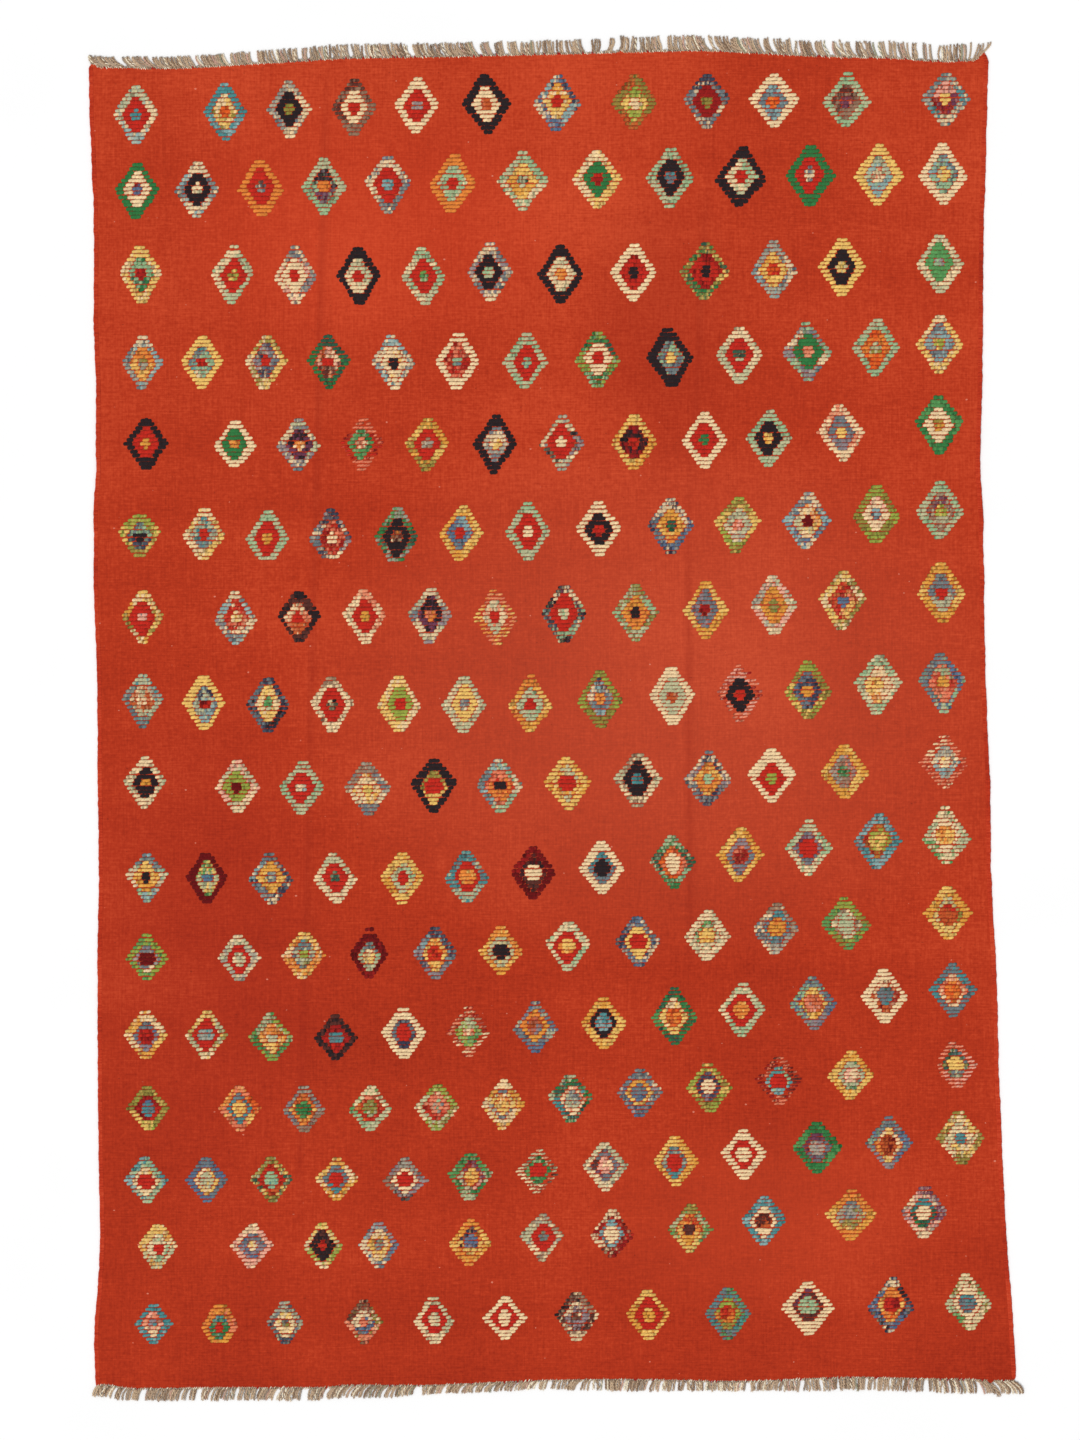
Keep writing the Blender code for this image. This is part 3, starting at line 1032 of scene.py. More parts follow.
@dataclass
class Selvage:
    """A side of the cloth: two fat cords of bundled warps, wrapped by the turning wefts."""

    shop: Workshop
    side: Side
    ear: float = -0.001  # how far it runs on past the cloth's far corner
    step: float = 0.0022
    outward_wave: float = 0.0011
    waves: tuple[tuple[float, float], ...] = ((0.45, 0.006), (0.55, 0.012), (0.7, 0.045))
    swells: tuple[tuple[float, float], ...] = ((0.10, 0.0044), (0.06, 0.03))
    corner_gap: float = 0.001  # between the cloth's near corner and the cords' start
    taper: float = 0.007
    tip: float = 0.02  # how thick the cords' two ends are, as a share
    tip_inset: float = 0.004
    ear_lean: float = 0.35
    section: tuple[tuple[float, float], ...] = (
        (0.0000, 0.0017), (0.0008, 0.0031), (0.0027, 0.0039), (0.0044, 0.0034),
        (0.0052, 0.0030), (0.0062, 0.0034), (0.0078, 0.0038), (0.0094, 0.0033),
        (0.0104, 0.0024), (0.0100, 0.0004), (0.0052, 0.0000), (0.0008, 0.0003),
    )  # how far in from the edge, and how high
    seed: int = 31

    def uneven(self, rng: np.random.Generator, along: Array) -> tuple[Array, Array]:
        """Choose how the cords' outer side waves and how their thickness swells.

        Args:
            rng: The random numbers.
            along: Places along the cords.

        Returns:
            How far out the side lies there, and how thick the cords are as a share.
        """
        wave = sum(share * smooth_noise(rng, along, step) for share, step in self.waves)
        fat = 1 + sum(share * smooth_noise(rng, along, step) for share, step in self.swells)
        return self.outward_wave * wave, fat

    def build(self) -> Piece:
        """Wrap the cords.

        Returns:
            The two cords as one piece.
        """
        rng = np.random.default_rng(self.seed + self.side.value)
        edge = self.shop.plan.side(self.side)
        corner = min(at for at, _ in edge.points), max(at for at, _ in edge.points)
        along = np.arange(corner[0] + self.corner_gap, corner[1] + self.ear, self.step)
        wave, fat = self.uneven(rng, along)
        from_end = np.minimum(along - along[0], along[-1] - along)
        slim = np.clip(from_end / self.taper, self.tip, 1) ** 0.5
        inward, high = np.array(self.section).T
        lift = self.shop.lie.lift(edge.out(along), along)
        past = np.clip(along - corner[1], 0, None) * self.ear_lean
        out = edge.out(along)[:, None] - self.side.value * (
            inward[None, :] * slim[:, None] + past[:, None] + self.tip_inset * (1 - slim[:, None])
            - wave[:, None] * (1 - inward[None, :] / inward.max()) ** 0.5
        )
        height = lift[:, None] + high[None, :] * (fat * slim)[:, None]
        points = np.stack([out, np.broadcast_to(along[:, None], out.shape), height], axis=-1)
        name = f"selvage_{self.side.name.lower()}"
        return self.shop.piece(
            name, points.reshape(-1, 3), self.faces(len(along)), SELVAGE_WOOL, "ground_wool"
        )

    def faces(self, stations: int) -> list[list[int]]:
        """Number the cords' faces.

        Args:
            stations: How many places there are along the cords.

        Returns:
            The faces round the cords and over their two ends.
        """
        ring = len(self.section)
        number = np.arange(stations * ring).reshape(stations, ring)
        beside = np.roll(number, -1, axis=1)
        around = np.stack([number[:-1], beside[:-1], beside[1:], number[1:]], axis=-1)
        around = around.reshape(-1, 4)
        near, far = number[0][::-1], number[-1]
        if self.side is Side.RIGHT:
            around, near, far = around[:, ::-1], near[::-1], far[::-1]
        return [*around.tolist(), near.tolist(), far.tolist()]


# ------------------------------------------------------------
# The brocade


@dataclass
class Stitches:
    """Slanting stitches: short domes of yarn, pointed at both their ends."""

    across: Array
    along: Array
    base: Array
    half_length: Array
    half_width: Array
    rise: Array
    slant: Array  # in radians, anticlockwise
    tones: Array  # three colours along each stitch
    # painted shade: the dark colour that a stitch's foot takes, so the grooves between stitches
    # look shaded
    shadow: Colour = (0.060, 0.012, 0.008)  # between the stitches, where they enter the cloth

    TIP = 0.15  # how high its two ends are
    SECTIONS = ((-0.74, 0.84, 0.86), (0.0, 1.0, 1.0), (0.72, 0.82, 0.82))  # along, width, height
    CORNERS = ((-0.94, -0.02), (-0.58, 0.86), (0.54, 0.92), (0.94, -0.02))  # sideways and up
    # the rest of a stitch's foot colour is the painted shade
    FOOT_SHARE = 0.12  # of its own colour in a stitch's foot

    @classmethod
    def template(cls) -> tuple[Array, tuple[tuple[int, ...], ...]]:
        """Lay out one stitch.

        Returns:
            Its points, as shares of its sizes, and its faces.
        """
        points = [(-1.0, 0.0, cls.TIP)]
        for along, width, height in cls.SECTIONS:
            points.extend((along, side * width, up * height) for side, up in cls.CORNERS)
        points.append((1.0, 0.0, cls.TIP))
        around, last = len(cls.CORNERS), len(points) - 1
        faces = []
        for i in range(1, around):
            faces.append((0, i + 1, i))
            for a in range(i, last - around, around):
                faces.append((a, a + 1, a + 1 + around, a + around))
            end = last - around + i
            faces.append((end - 1, end, last))
        return np.array(points), tuple(faces)

    def forms(self) -> Forms:
        """Place and colour the stitches.

        Returns:
            The stitches as forms to be joined.
        """
        points, faces = self.template()
        s, t, h = points.T
        along_it = s[None, :] * self.half_length[:, None]
        across_it = t[None, :] * self.half_width[:, None]
        cos, sin = np.cos(self.slant)[:, None], np.sin(self.slant)[:, None]
        placed = np.stack([
            self.across[:, None] + along_it * cos - across_it * sin,
            self.along[:, None] + along_it * sin + across_it * cos,
            self.base[:, None] + h[None, :] * self.rise[:, None],
        ], axis=-1)
        section = (np.round(s) + 1).astype(int)
        own = self.tones[:, section]
        # painted shade at the feet: mostly the shadow colour, a little of the stitch's own
        foot = self.FOOT_SHARE * own + (1 - self.FOOT_SHARE) * np.array(self.shadow)
        tones = np.where((h < 0)[None, :, None], foot, own)
        return Forms(placed, tones, faces)


@dataclass(frozen=True)
class YarnBlend:
    """What one part of a lozenge is worked in: a yarn, or several in turn."""

    yarns: tuple[Yarn, ...]
    sparse: bool
    large: bool

    SOLID = (
        Yarn.BLACK, Yarn.RED, Yarn.CRIMSON, Yarn.BURGUNDY, Yarn.GREEN, Yarn.LEAF, Yarn.NAVY,
        Yarn.BROWN,
    )
    PATCH = (0.050, 0.110)  # the patches' sizes in a mixed yarn
    UNRULY = 0.45  # how much its stitches stray from the patches
    DRAWN_OUT = 0.6  # how fast its patches change across, to along
    MIX = 0.4  # the most that a stitch takes of another of its yarns
    UNEVEN = (0.06, 0.05)  # how far its stitches, and their parts, are lighter or darker
    FLECKS = 0.10  # the share of dark flecks in it
    FLECK_TONE = 0.45

    @classmethod
    def named(cls, words: str) -> "YarnBlend":
        """Read a blend from the chart.

        Args:
            words: Its words, such as cream+pink, ~cream or cream*.

        Returns:
            The blend.
        """
        words = words.strip()
        names = words.strip("~*").split("+")
        yarns = tuple(Yarn[name.upper()] for name in names)
        return cls(yarns, words.startswith("~"), words.endswith("*"))

    @property
    def dense(self) -> bool:
        """Whether the stitches lie close, so that no cloth shows between them."""
        return all(yarn in self.SOLID for yarn in self.yarns)

    def tones(self, rng: np.random.Generator, across: Array, along: Array) -> Array:
        """Choose the colours of stitches. A mixed yarn changes its colour in patches.

        Args:
            rng: The random numbers.
            across: The stitches' places across.
            along: Their places along.

        Returns:
            Three colours along each stitch.
        """
        count = len(across)
        colours = np.array([yarn.colour for yarn in self.yarns])
        waves = np.zeros((len(colours), 3 * count))
        for wave in waves:
            for _ in range(2):
                turn, start = rng.uniform(0, 2 * np.pi, 2)
                place = self.DRAWN_OUT * np.cos(turn) * across + np.sin(turn) * along
                wave += np.repeat(np.sin(place * 2 * np.pi / rng.uniform(*self.PATCH) + start), 3)
            wave += np.repeat(rng.normal(0, self.UNRULY, count), 3)
            wave += rng.normal(0, self.UNRULY, 3 * count)
        picks = waves.argmax(axis=0)
        others = rng.integers(0, len(colours), 3 * count)
        share = rng.uniform(0.0, self.MIX, (3 * count, 1))
        mixed = colours[picks] * (1 - share) + colours[others] * share
        whole, parts = self.UNEVEN
        uneven = np.repeat(rng.normal(1.0, whole, count), 3) + rng.normal(0, parts, 3 * count)
        if len(colours) > 1:
            uneven = np.where(rng.random(3 * count) < self.FLECKS, self.FLECK_TONE, uneven)
        return np.clip(mixed * uneven[:, None], 0, 1).reshape(count, 3, 3)


@dataclass(frozen=True)
class Hand:
    """How unevenly one lozenge is worked."""

    skew: float  # sideways per unit along
    fullness: float  # under 1 it has rounder sides
    widest: float  # where it is widest, as a share of half its length
    blunt: float  # half the width of its first and last band
    ring_wide: float  # its inner ring's share of the width
    ring_long: float
    heart_wide: float  # its centre block's share of the width
    heart_long: float
    off_centre: tuple[float, float]
    tuft: float = 0.0  # how far its last band stands off
    cut: float = 0.0  # the share of half its length that is missing at the near end

    @classmethod
    def usual(cls, rng: np.random.Generator) -> "Hand":
        """Choose the hand of an ordinary lozenge.

        Args:
            rng: The random numbers.

        Returns:
            The hand.
        """
        return cls(
            skew=rng.normal(0, 0.035),
            fullness=rng.uniform(0.94, 1.12),
            widest=rng.normal(0, 0.06),
            blunt=rng.uniform(0.0070, 0.0102),
            ring_wide=rng.uniform(0.58, 0.66),
            ring_long=rng.uniform(0.57, 0.66),
            heart_wide=rng.uniform(0.21, 0.27),
            heart_long=rng.uniform(0.18, 0.23),
            off_centre=(rng.normal(0, 0.0015), rng.normal(0, 0.002)),
            tuft=0.0022 if rng.random() < 0.12 else 0.0,
        )


@dataclass
class Lozenge:
    """One brocaded lozenge, in an outer ring, an inner ring and a centre."""

    across: float
    along: float
    width: float
    length: float
    yarns: tuple[YarnBlend, YarnBlend, YarnBlend]
    hand: Hand
    band_pitch: float

    STITCH_PITCH = 0.0066
    STITCH_LENGTH = 0.0112
    LEAST_STITCH = 0.0050
    RAGGED = 0.0009  # how unevenly a band's yarns start and end
    STITCH_WIDTH = 1.05  # of a band's pitch
    DENSE_WIDTH = 1.26
    SPARSE_WIDTH = 0.66  # to the others
    SPARSE_MISSING = 0.12  # the share of sparse stitches that is left out
    BAND_STRAY = 0.0004
    STITCH_STRAY = 0.00035
    RISE = 0.0014
    SUNK = 0.0002
    SLANT = 0.23
    HEART_CORNER = 0.70  # how much of the centre's corners is left: 1 is all, 0.5 a diamond
    LARGE_HEART = (1.46, 1.62)
    RING_TIP = 0.8  # half the width of the inner ring's first band, to the lozenge's own

    def half_width(self, share: Array) -> Array:
        """Measure the lozenge across.

        Args:
            share: Places along it, from -1 to 1.

        Returns:
            How far its sides lie from its middle there.
        """
        off = share - self.hand.widest
        away = np.abs(off) / (1 - np.sign(off) * self.hand.widest)
        open_part = np.clip(1 - away, 0, 1) ** self.hand.fullness
        return self.hand.blunt + (self.width / 2 - self.hand.blunt) * open_part

    def inner_half(self, y: float) -> float:
        """Measure the inner ring across.

        Args:
            y: How far along from the lozenge's middle.

        Returns:
            How far the ring's sides lie from its middle, or 0 where there is none.
        """
        open_part = 1 - abs(y - self.hand.off_centre[1]) / (self.length / 2 * self.hand.ring_long)
        tip = self.hand.blunt * self.RING_TIP
        sides = tip + (self.hand.ring_wide * self.width / 2 - tip) * open_part
        return sides if open_part > 0 else 0.0

    def heart_half(self, y: float) -> float:
        """Measure the centre across.

        Args:
            y: How far along from the lozenge's middle.

        Returns:
            How far the centre's sides lie from its middle, or 0 where there is none.
        """
        large = self.LARGE_HEART if self.yarns[2].large else (1.0, 1.0)
        long = abs(y - self.hand.off_centre[1]) / (self.hand.heart_long * self.length * large[1])
        sides = min(0.5, self.HEART_CORNER - long) * self.hand.heart_wide * self.width * large[0]
        return sides if long < 0.5 else 0.0

    def stretches(self, y: float, half: float, rng: np.random.Generator) -> list[tuple]:
        """Part one band where its yarn changes.

        Args:
            y: How far along from the middle the band lies.
            half: Half its width.
            rng: The random numbers.

        Returns:
            Where each stretch starts and ends across, and its part: 0 for the outer ring, 1
            for the inner one and 2 for the centre.
        """
        middle = y * self.hand.skew
        left, right = [], []
        limit = half
        for sides in (half, self.inner_half(y), self.heart_half(y)):
            sides = min(sides, limit)
            if sides < self.LEAST_STITCH / 2:
                break
            left.append(middle - sides + rng.normal(0, self.RAGGED))
            right.append(middle + sides + rng.normal(0, self.RAGGED))
            middle = y * self.hand.skew + self.hand.off_centre[0]
            limit = sides - self.LEAST_STITCH
        cuts = [*left, *reversed(right)]
        parts = [*range(len(left)), *range(len(left) - 2, -1, -1)]
        return list(zip(cuts[:-1], cuts[1:], parts))

    def places(self, rng: np.random.Generator) -> Array:
        """Set out the stitches band by band.

        Args:
            rng: The random numbers.

        Returns:
            For each stitch, its place across and along from the middle, its length and its
            part.
        """
        bands = int(round(self.length / self.band_pitch))
        shares = (np.arange(bands) + 0.5) / bands * 2 - 1
        rows = []
        for band, share in enumerate(shares):
            if share < -1 + self.hand.cut:
                continue
            y = share * self.length / 2 + rng.normal(0, self.BAND_STRAY)
            if band == bands - 1:
                y += self.hand.tuft
            half = float(self.half_width(np.array(share)))
            for start, end, part in self.stretches(y, half, rng):
                spare = end - start - self.STITCH_LENGTH
                count = max(int(round(spare / self.STITCH_PITCH)), 0) + 1
                length = self.STITCH_LENGTH if count > 1 else end - start
                for x in np.linspace(start + length / 2, end - length / 2, count):
                    rows.append((x, y, length, part))
        return np.array(rows)

    def stitches(self, shop: Workshop, rng: np.random.Generator) -> Stitches:
        """Work the lozenge.

        Args:
            shop: The workshop, for how the cloth lies.
            rng: The random numbers.

        Returns:
            Its stitches.
        """
        across, along, length, parts = self.places(rng).T
        count = len(across)
        tones = np.zeros((count, 3, 3))
        width = np.full(count, self.STITCH_WIDTH * self.band_pitch)
        kept = np.ones(count, bool)
        for part, blend in enumerate(self.yarns):
            chosen = np.flatnonzero(parts == part)
            tones[chosen] = blend.tones(rng, across[chosen], along[chosen])
            if blend.dense:
                width[chosen] = self.DENSE_WIDTH * self.band_pitch
            if blend.sparse:
                width[chosen] *= self.SPARSE_WIDTH
                kept[chosen] = rng.random(len(chosen)) > self.SPARSE_MISSING
        x = self.across + across + rng.normal(0, self.STITCH_STRAY, count)
        y = self.along + along + rng.normal(0, self.STITCH_STRAY, count)
        worked = {
            "across": x,
            "along": y,
            "base": shop.lie.lift(x, y) + shop.plan.thickness - self.SUNK,
            "half_length": length / 2 * rng.uniform(0.98, 1.16, count),
            "half_width": width / 2 * rng.uniform(0.88, 1.10, count),
            "rise": self.RISE * rng.uniform(0.8, 1.08, count),
            "slant": self.SLANT * rng.uniform(0.75, 1.25, count),
            "tones": tones,
        }
        return Stitches(**{name: values[kept] for name, values in worked.items()})


# The yarns of each lozenge, from the left: outer ring, inner ring and centre. A plus sign
# joins yarns that take turns, ~ marks stitches that stand sparse, and * a large centre.
CHART = """sage+cream+cream+sky/red/sky+teal, teal+teal+teal+sky/olive+yellow+cream/flame+orange,
cream+slate+cream+grey/black/olive+lime, taupe+taupe+brown/cream/red, cream/red/slate+cream+lilac,
black/cream/salmon+rust, navy+cream+blue+sky/yellow+gold+cream/red,
olive+rust+olive/lime+yellow+lime/cream+yellow, slate+cream+slate+navy/crimson/olive+green,
cream/slate+sky/orange+flame, mint+sage/brown+taupe+taupe/plum+salmon,
slate+cream+teal+grey/plum+pink+crimson+plum/yellow

green/cream/navy+blue+cream+crimson, cream+sky+cream+slate/black/cream+cream+sage,
orange/red/slate+cream+brown, mint+sage/plum+lilac+mint+black/flame+orange+rust,
cream+blue+cream+slate/red/sky+teal, orange/mint+sage+cream/red,
mint+cream+sage/yellow+yellow+gold/dark_green+sage, yellow+cream/green/red+crimson,
mint+sage/black/slate+teal+navy, black/sage+mint+cream/red, green/red/lilac+slate+cream,
yellow/mint+sky+sage/salmon+cream+mint, cream/slate+sky+mint/yellow+lime+sage

yellow+yellow+cream/green+mint+dark_green/red+crimson, sage+cream+mint/red/olive+lime+yellow,
cream+slate+pink+cream/cream/red, black/sage+cream/red, sage+mint+cream/red/leaf+lime+sage,
cream+slate+cream+lilac/black/mint+sage, black/cream+sage/orange+yellow,
cream/red+red+crimson/black, green+olive+yellow+dark_green/red+crimson/black,
slate+cream+sky+grey/yellow+gold/red+flame, yellow/black/yellow+olive+sage,
sage+cream/leaf/lilac+grey+mint

slate+cream+grey+sky/orange+yellow+orange/olive+rust+grey, yellow/teal+mint+cream+slate/red+crimson,
yellow+olive+cream/navy+slate+lilac+cream/red, green+dark_green/brown+cream+pink+rust/red,
cream+sky+slate+cream/cream+cream+yellow/black, cream/red+crimson+red+salmon/teal+mint+slate,
sage+mint+sage/red/teal+mint+slate, green+dark_green+lime+mint/cream/red,
black/slate+navy+mint/yellow, cream+sage/red/sage+dark_green+brown,
cream+lilac+mint+slate/green/salmon+cream+mint, mint+sage/flame+orange+flame/sage+olive,
yellow+cream+yellow/sky+slate+grey/lime+yellow

black/red/yellow+gold, cream/green/gold+orange+yellow,
slate+sage+cream+lilac/black+black+plum/orange+cream,
~crimson+red+salmon/leaf+sage+green/cream+salmon, yellow+gold+olive/red/grey+cream+taupe,
black/lilac+grey+cream+slate/yellow+cream, grey+sage+lilac+black+cream/red/cream,
yellow+yellow+gold/black+crimson+black/red+crimson, cream/red/green+dark_green+rust,
sage+mint/black/yellow+gold, cream+cream+cream+salmon/lilac+slate/yellow,
leaf+green/cream/gold+olive

lime+olive+yellow/slate+mint+navy/black, yellow+yellow+cream/slate+teal+sage/red,
sage+mint+sage/red/gold+yellow, slate+cream+lilac+navy/red+crimson+salmon/cream+salmon,
green+dark_green+grey+leaf/black/orange+cream+brown, yellow+gold+yellow/sky+slate+blue/red,
sage+mint/red/cream, cream/black/red+red+crimson,
navy+slate+blue+cream+navy/orange+gold+yellow/green+dark_green,
olive+yellow+lime/cream+grey+sage/salmon+pink+rust,
sky+slate+cream+blue/yellow+sage+cream+orange/burgundy, lime+olive/cream+cream+pink/slate+sky,
sage+mint/taupe+plum+sage+taupe/lime+yellow

yellow+olive+gold+cream/red/cream+slate+pink,
slate+sage+cream+lilac+sky/salmon+red+cream+red/cream+yellow,
black+brown+black/salmon+cream+rust/red, cream+cream+salmon/red/olive+gold,
slate+cream+sage+lilac/black+plum+black/orange+salmon, ~orange+salmon+yellow/sage+cream+salmon/red,
slate+navy+mint+cream+plum+black/red/sage+cream+mint, sage+mint+olive/gold+orange/black,
gold+yellow/slate+lilac+plum/crimson+burgundy, cream+sage+pink+grey/orange+gold/olive+green+sage,
yellow+cream+olive/salmon+crimson+yellow+red/blue+slate, yellow+gold/slate+lilac+sage/red

slate+teal+sage+grey/cream+sage+rust+cream/rust+cream+taupe,
yellow/slate+navy+sage+sky/burgundy+red, navy+slate+black/yellow+yellow+cream/leaf+sage,
cream+taupe+cream/red/black+mint+cream, yellow+cream/lime/red,
sage+cream+sage/yellow/grey+cream+slate, gold+orange+yellow/sage+mint/red,
olive+lime/navy+slate+cream+sky/orange+yellow, cream/sage/rust+crimson+sage,
~salmon+pink+crimson/black/red, olive+lime+olive+yellow/navy+blue+slate/orange+gold,
mint+cream+sage/yellow+cream+orange+cream/orange+yellow,
slate+sage+blue+mint/salmon+red+mint+salmon/yellow+gold

cream+sage+cream/black/orange+gold, cream+pink+sage/lime+olive/burgundy,
sage+mint/red/cream+sky+slate, grey+cream+slate+taupe/yellow+gold+cream/lime+yellow,
black/yellow+olive/red*, sky+slate+cream+mint/salmon+red+orange/black,
yellow+gold/yellow+sage+gold/red*, cream+taupe+sage/black/teal+dark_green,
slate+navy+cream+lilac/gold+yellow+orange/sage+mint+lime, cream/red/lime,
yellow+gold/taupe+lilac+salmon+grey/sage+green+grey,
~salmon+red+cream+salmon/sky+slate+cream+grey/cream+yellow

slate+sky+cream+mint/yellow+gold/black, burgundy/sage+leaf+yellow/blue+teal,
navy+cream+slate+navy+sky/yellow+gold/slate+sage, cream+cream+sage/red/dark_green+sage,
yellow+gold/sage+mint+yellow/red, teal+sage+teal+slate/red/yellow+orange*,
burgundy+crimson+burgundy/black+brown+burgundy/cream*, cream/teal+slate/black*,
sage+green+mint+dark_green/flame+orange+salmon/cream*, yellow+gold/slate+lilac/salmon+crimson*,
cream+mint+sage/lilac+plum+slate/red*, sky+teal+slate/rust+crimson+lime/lime+yellow*,
sage+leaf+cream/cream/orange+yellow*

lime+lime+leaf/lilac+slate+cream/burgundy*, cream+grey+sage/red/sage+cream*,
orange+yellow+gold+cream/slate+sage+teal+olive/olive+lime,
burgundy+crimson+burgundy/sage+slate+mint/cream+yellow*,
slate+lilac+navy+sky/yellow+orange/red+flame*, gold+orange+yellow/sage+yellow/black*,
sage+cream+mint/red/yellow+orange*, slate+navy+blue+cream/yellow/red*,
cream+cream+sage/leaf+cream+sage/yellow+gold*, taupe+slate+cream+grey/sky+teal+slate/gold+orange*,
leaf+lime+olive/sage+taupe+cream/mint+sage*, yellow+gold/sage+yellow+olive/red+rust*

yellow+gold+cream/slate+lilac+blue/red+crimson*, yellow+cream+sage+olive/red/teal+sky+grey*,
leaf+green+lime+sage/yellow+cream+orange/cream+sage+sky, black+black+brown/red+crimson/teal+slate*,
cream/slate+navy/red*, ~crimson+salmon+cream/leaf+sage+lime/cream+salmon,
slate+blue+lilac+sage/orange+gold/lilac+rust+slate*, yellow+gold/black/teal+slate+sky*,
green+dark_green+leaf/cream+yellow/orange+rust+flame*, sage+cream+mint/red/yellow+orange*,
slate+blue+lilac+mint/yellow+gold/salmon+rust+pink*,
cream/rust+cream+crimson/dark_green+teal+slate*, teal+slate/cream+salmon+orange/orange+rust+flame*

lime+olive+yellow/red+crimson/teal+slate+blue*,
orange+salmon+yellow+flame/teal+slate/orange+yellow*,
slate+lilac+taupe+grey/orange+yellow+rust/leaf+green+dark_green*,
sage+cream+leaf+mint/salmon+orange+red/leaf+sage+olive*,
olive+cream+sage+lime/red+salmon+cream/slate+mint+grey+salmon*,
yellow+gold+cream/slate+yellow+olive+grey/yellow+cream+orange*,
green+sage+dark_green+teal/cream+salmon+cream/slate+grey+sage*,
slate+blue+lilac+slate+cream/yellow+orange+gold/slate+blue*,
olive+yellow+lime/slate+navy+lilac/cream*, ~crimson+brown+salmon+crimson/sky+teal+mint/red*,
yellow+gold/slate+sage+green/cream+cream+pink*, ~salmon+pink/dark_green+olive+slate+sage/yellow*

mint+teal+sky+sage/yellow+cream+gold/red*, blue+slate/yellow+gold+cream/sage+yellow+grey*,
olive+yellow+dark_green+sage/red+crimson+rust/teal+mint*, yellow+cream+gold/teal+slate/red*,
grey+taupe+lilac+black/cream/red*, leaf+green+sage/plum+pink+crimson+sage/yellow+gold+orange*,
~salmon+brown+sage+crimson+cream/leaf+sage+green/red*,
sage+cream+grey/lilac+slate+plum+brown/pink+salmon+cream*, yellow+gold/teal+slate+sage/red*,
cream/red/cream*, green+leaf/plum+slate+brown/pink+lilac+grey*,
slate+blue+lilac+mint/orange+yellow+cream/rust+burgundy*,
olive+yellow+cream+olive/cream+sage+yellow/teal+slate+sky

gold+yellow+cream+sage/sage+cream+mint/red, pink+cream+pink/slate+lilac+blue/yellow+cream,
lime+yellow+sage+cream/black+black+brown/red+crimson,
slate+blue+sky+cream+lilac/yellow+gold+cream/slate+sage+olive,
orange+yellow+gold/navy+black+orange+yellow/blue+lilac*, cream+grey+sage+taupe/red/slate+leaf+taupe,
crimson+red+cream+brown+crimson/teal+sky+slate/cream*,
olive+leaf+yellow+sage/orange+yellow+gold+red/navy+brown, teal+sky+teal/cream/burgundy+rust+brown*,
yellow+gold+orange/olive+slate+yellow+grey/lilac+grey+slate,
lilac+pink+plum+cream/teal+dark_green+green/cream*

teal+teal+sky/cream+pink+salmon/grey+lilac+teal, orange+gold+salmon/green+teal+sage/flame+red,
slate+navy+sage+grey/yellow+cream/slate+olive+brown,
brown+salmon+cream+olive/blue+slate+cream+black/salmon, sage+cream/red/sage+cream, cream/red/cream,
brown+cream+taupe+black/slate+lilac+cream+brown/taupe+cream+brown, yellow+gold/red/yellow+gold,
slate+teal+leaf+slate/orange+leaf+olive+lime/orange+red+flame*, cream/brown+plum+brown/sage+mint*,
cream+slate+blue+navy+black/orange+yellow+flame/red+crimson*,
leaf+olive+sage+cream/cream/teal+slate*""".split("\n\n")

# Lozenges that the weaver worked oddly, by their row and their number in it.
ODD_HANDS = {
    (3, 2): {"tuft": 0.0035, "skew": 0.06},
    (3, 3): {"tuft": 0.0030},
    (6, 1): {"fullness": 0.75, "skew": 0.0, "widest": 0.2, "heart_wide": 0.33},
    (6, 3): {"cut": 0.32},
    (6, 4): {"cut": 0.25},
    (6, 5): {"cut": 0.18},
    (11, 4): {"tuft": 0.007, "off_centre": (0.0, -0.004)},
    (15, 2): {"tuft": 0.0},
    (15, 6): {"widest": 0.10, "fullness": 1.05, "blunt": 0.006},
    (16, 2): {"fullness": 0.80, "cut": 0.10},
    (16, 5): {"heart_long": 0.33, "heart_wide": 0.28},
    (16, 6): {"heart_long": 0.35, "heart_wide": 0.28},
    (16, 8): {"heart_long": 0.32, "heart_wide": 0.28},
}

# Lozenges that are wider or longer than the others of their row, by row and number.
WIDER = {
    1: {1: 1.06, 6: 1.08, 7: 1.04, 10: 1.08},
    2: {7: 1.10, 8: 1.05, 10: 1.06},
    3: {9: 1.09},
    4: {11: 1.07},
    5: {1: 1.07},
    10: {3: 1.05},
    11: {4: 0.88, 11: 1.07},
    12: {1: 1.06, 3: 1.06},
    13: {12: 0.91},
    14: {1: 1.05, 11: 1.05},
    15: {1: 0.98, 2: 1.05, 3: 0.95, 4: 0.93, 10: 1.13},
    16: {1: 0.91, 2: 0.88, 3: 0.88, 4: 0.90, 5: 0.95, 10: 1.16},
}
LONGER = {
    1: {6: 1.05},
    5: {2: 0.90, 6: 1.08},
    6: {1: 0.84, 3: 1.11, 4: 1.10, 5: 1.10, 6: 1.04, 7: 1.08},
    7: {3: 0.93},
    11: {5: 1.08},
    12: {4: 0.92, 9: 1.12},
    13: {6: 1.09, 12: 0.95},
    14: {1: 1.04, 4: 0.92, 5: 0.92, 7: 0.93},
    16: {6: 0.93},
}

